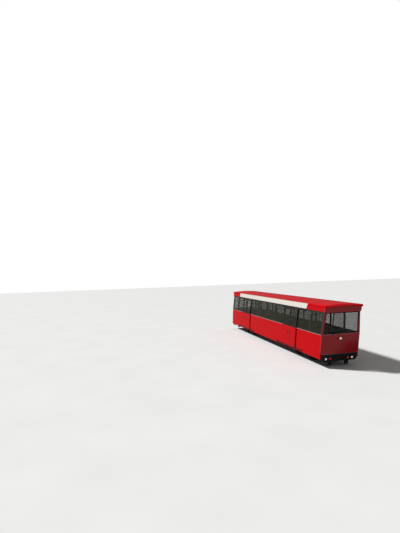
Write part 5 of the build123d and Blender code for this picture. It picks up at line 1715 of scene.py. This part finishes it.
class CAR_OT_cab_trims(bpy.types.Operator):
    """Adds instruments, levers and a desk edge to the driver's desks, and end caps to the ceiling lights"""
    bl_idname = "car.cab_trims"
    bl_label = "Cab fittings"

    def execute(self, context):
        dials, buttons = (0.330, 0.430, 0.530, 0.630), (-0.200, -0.150, -0.100, -0.050, 0.000)
        levers, panel_widths = ((0.250, 0.110), (0.710, 0.140)), ((0.480, 0.460), (-0.100, 0.300))
        desk_half = 1.060
        panels, controls, bright = [], [], []
        for _, end in ENDS:
            panels += [self.panel(end, y, width) for y, width in panel_widths]
            for y in dials:
                dial = self.on_desk(end, y, 0.105, 0.030)
                controls.append(disc("dial", dial, 0.034, 0.030, "Z", 24, ((0.15, -0.12),)))
            for y, reach in levers:
                foot = self.on_desk(end, y, 0.120)
                bends = ((0.0, 0.0), (0.004, 0.040), (0.012, reach * 0.7), (0.014, reach),
                         (0.014, reach + 0.016))
                places = [foot + Vector((-end * back, 0.0, rise)) for back, rise in bends]
                controls.append(disc("boss", foot + UP * 0.006, 0.034, 0.016, "Z", 24, ((0.3, 0.2),)))
                bright.append(tube("lever", places[:-1], 0.007, 8))
                controls.append(disc("knob", places[-1], 0.022, 0.036, "Z", 20, ((0.3, 0.12), (0.3, 0.06))))
            for y in buttons:
                button = self.on_desk(end, y, 0.125, 0.010)
                controls.append(disc("button", button, 0.011, 0.018, "Z", 12, ((0.3, 0.1),)))
            x = self.on_desk(end, 0.0, 0.140).x
            low, high = (x - 0.014, -desk_half, DESK_Z - 0.006), (x + 0.014, desk_half, DESK_Z + 0.004)
            bright.append(soften(new_block("edge", low, high), 0.002, 1))
        done("desk_panels", panels, "lining")
        done("desk_controls", controls, "rubber")
        done("desk_bright", bright, "stainless")
        done("light_caps", [cap for bay in range(-4, 5) for cap in self.caps(bay)], "lining")
        return {"FINISHED"}

    def on_desk(self, end, y, inwards, rise=0.0):
        """A place on a desk's top, by the distance from the inside of the end wall."""
        return Vector((end * (INSIDE_X - inwards) + lean(DESK_Z), y, DESK_Z + rise))

    def panel(self, end, y, width):
        """A raised instrument panel whose face slopes to the driver."""
        depth, height = 0.045, 0.055
        base = self.on_desk(end, y, 0.070)
        panel = new_block("panel", base + Vector((-depth, -width / 2, -0.002)),
                          base + Vector((depth, width / 2, height)))
        edit(panel)
        pick("EDGE", lambda co, edge: co.z > DESK_Z + height - 0.005 and (co.x - base.x) * end < -0.04)
        move((end * 0.030, 0.0, 0.0))
        leave()
        return soften(panel, 0.008, 2)

    def caps(self, bay):
        """The end caps of one ceiling light, and the rib round its middle."""
        x = bay * BAY + lean(CEILING_Z)
        top = CEILING_Z - 0.0005
        made = []
        for way in (-1, 1):
            low, high = sorted((x + way * 0.556, x + way * 0.536))
            made.append(soften(new_block("cap", (low, -0.064, 3.520), (high, 0.064, top)), 0.004, 2))
        rib = new_block("rib", (x - 0.006, -0.0635, 3.5215), (x + 0.006, 0.0635, top))
        return made + [soften(rib, 0.002, 1)]


class CAR_OT_door_trims(bpy.types.Operator):
    """Adds pulls to the door leaves, and buttons on plates beside the doors"""
    bl_idname = "car.door_trims"
    bl_label = "Door fittings"

    def execute(self, context):
        pull = self.pull()
        for name, centre, way, side in each_leaf():
            copied = twin(pull, other_side=side < 0)
            if way < 0:
                shape(copied, lambda co: Vector((-2 * (co.x - lean(co.z)), 0.0, 0.0)))
            copied.location.x = centre
            done("leaf_pull_" + name, [set_down(copied)], "red_paint", "leaf_" + name)
        drop(pull)
        z, beside, half_width, half_height = 1.560, 1.140, 0.040, 0.065
        plates, caps = [], []
        for centre in (-DOOR_X, DOOR_X):
            for side in (-1, 1):
                x = centre + beside + lean(z)
                plate = side_block("plate", side, spread(x, half_width),
                                   (HALF_WIDTH - 0.002, HALF_WIDTH + 0.005), spread(z, half_height))
                plates.append(soften(plumbed(plate, z), 0.002, 2))
                button = (x, side * (HALF_WIDTH + 0.004), z + 0.015)
                caps.append(disc("button", button, 0.024, 0.008, "Y", 24, ((0.2, -0.2),)))
        done("door_button_plates", plates, "red_paint")
        done("door_button_caps", caps, "rubber")
        return {"FINISHED"}

    def pull(self):
        """A recessed pull with a bar across it, plumb, at the middle of a door on the far side."""
        face, foot, head, bar_x = LEAF_FACE, 1.360, 1.540, 0.150
        pull = new_block("pull", (bar_x - 0.040, face - 0.002, foot), (bar_x + 0.040, face + 0.005, head))
        edit(pull)
        pick_across(1)
        bpy.ops.mesh.bevel(offset=0.026, segments=4)
        pick_faces(WAYS["Y"])
        push_in(0.012, (0.0, -0.005, 0.0))
        leave()
        points = [(bar_x, face, foot + 0.025), (bar_x, face + 0.005, foot + 0.050),
                  (bar_x, face + 0.005, head - 0.050), (bar_x, face, head - 0.025)]
        return plumbed(as_one("pull", [soften(pull, 0.002, 1), tube("bar", points, 0.004, 8)]))


class CAR_OT_stage(bpy.types.Operator):
    """Adds the camera at the photograph's angle, the lamps, the floor and the sky"""
    bl_idname = "car.stage"
    bl_label = "Stage"

    def execute(self, context):
        stage = context.scene.car_stage
        self.add_camera(context.scene, stage)
        self.add_light(context.scene, stage)
        self.add_floor(stage)
        return {"FINISHED"}

    def add_camera(self, scene, stage):
        """The camera, whose axes are worked out level and then turned into the car's frame."""
        level = Vector((math.cos(stage.heading), math.sin(stage.heading), 0.0))
        ahead = level * math.cos(stage.tilt) - UP * math.sin(stage.tilt)
        above = level * math.sin(stage.tilt) + UP * math.cos(stage.tilt)
        right = Vector((level.y, -level.x, 0.0))
        across = right * math.cos(stage.roll) - above * math.sin(stage.roll)
        upright = right * math.sin(stage.roll) + above * math.cos(stage.roll)
        axes = Matrix((across, upright, -ahead)).transposed()
        camera = bpy.data.objects.new("camera", bpy.data.cameras.new("camera"))
        camera.data.lens = stage.lens
        camera.data.clip_end = 1000.0
        pose = (Matrix.Rotation(SLOPE, 3, "Y") @ axes).to_4x4()
        pose.translation = stage.camera_place
        camera.matrix_world = pose
        scene.collection.objects.link(camera)
        scene.camera = camera

    def add_light(self, scene, stage):
        """A wide sun from the near side, and a sky that is white to the camera and dimmer in gloss."""
        lamp = bpy.data.lights.new("sun", "SUN")
        lamp.energy = stage.sun
        lamp.angle = math.radians(6.0)
        sun = bpy.data.objects.new("sun", lamp)
        sun.rotation_euler = Vector((-0.35, -0.75, 0.90)).to_track_quat("Z", "Y").to_euler()
        scene.collection.objects.link(sun)
        scene.view_settings.view_transform = "Standard"
        world = bpy.data.worlds.new("sky")
        world.use_nodes = True
        tree = world.node_tree
        sky = tree.nodes["Background"]
        sky.inputs["Color"].default_value = (1.0, 1.0, 1.0, 1.0)
        rays, seen = self.rays(tree)
        gloss = stretch(tree, rays["Is Glossy Ray"], 0.0, 1.0, stage.sky, stage.gloss_sky)
        join(tree, maths(tree, "MAXIMUM", gloss, seen), sky.inputs["Strength"])
        scene.world = world

    def rays(self, tree):
        """The kinds of ray, and 1 for those that come from the camera, straight or through glass."""
        rays = put(tree, "ShaderNodeLightPath").outputs
        return rays, maths(tree, "ADD", rays["Is Camera Ray"], rays["Is Transmission Ray"], clamp=True)

    def add_floor(self, stage):
        """A wide pale floor just under the wheel flanges."""
        bpy.ops.object.select_all(action="DESELECT")
        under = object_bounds()[0][2] - 0.002
        bpy.ops.mesh.primitive_plane_add(size=stage.floor_size, location=(0.0, 0.0, under))
        floor = bpy.context.object
        floor.name = "floor"
        tree, shader = new_material("floor", Roughness=0.9)
        tone = stretch(tree, pattern(tree, "Noise", Scale=0.4, Detail=2.0), 0.3, 0.7)
        mixed = mix_colour(tree, tone, (0.70, 0.70, 0.69), (0.73, 0.73, 0.72))
        coloured(tree, shader, self.rays(tree)[1], [stage.bounce] * 3, mixed)
        floor.data.materials.append(bpy.data.materials["floor"])
        floor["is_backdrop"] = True


class CAR_PT_panel(bpy.types.Panel):
    """Lists the steps"""
    bl_idname = "CAR_PT_panel"
    bl_label = "Funicular"
    bl_space_type = "VIEW_3D"
    bl_region_type = "UI"
    bl_category = "Funicular"

    def draw(self, context):
        for step in STEPS:
            self.layout.operator(step.bl_idname)


STEPS = (
    CAR_OT_finishes, CAR_OT_windows, CAR_OT_side_trims, CAR_OT_leaf_trims, CAR_OT_roof_trims,
    CAR_OT_sign_trims, CAR_OT_lamps, CAR_OT_springs, CAR_OT_seat_pads, CAR_OT_stools, CAR_OT_bogie_trims,
    CAR_OT_underframe_trims, CAR_OT_end_trims, CAR_OT_floor_trims, CAR_OT_cab_trims, CAR_OT_door_trims,
    CAR_OT_stage,
)
CLASSES = (CarFinish, CarSizes, CarStage) + STEPS + (CAR_PT_panel,)


def register():
    """Registers the classes, and hangs the properties on the scene."""
    for item in CLASSES:
        bpy.utils.register_class(item)
    bpy.types.Scene.car_finish = bpy.props.PointerProperty(type=CarFinish)
    bpy.types.Scene.car_sizes = bpy.props.PointerProperty(type=CarSizes)
    bpy.types.Scene.car_stage = bpy.props.PointerProperty(type=CarStage)


def unregister():
    """Takes the properties and classes away again."""
    del bpy.types.Scene.car_stage
    del bpy.types.Scene.car_sizes
    del bpy.types.Scene.car_finish
    for item in reversed(CLASSES):
        bpy.utils.unregister_class(item)


def main():
    """Registers the add-on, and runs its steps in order."""
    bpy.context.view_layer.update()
    register()
    for step in STEPS:
        group, name = step.bl_idname.split(".")
        getattr(getattr(bpy.ops, group), name)()


if __name__ == "__main__":
    main()
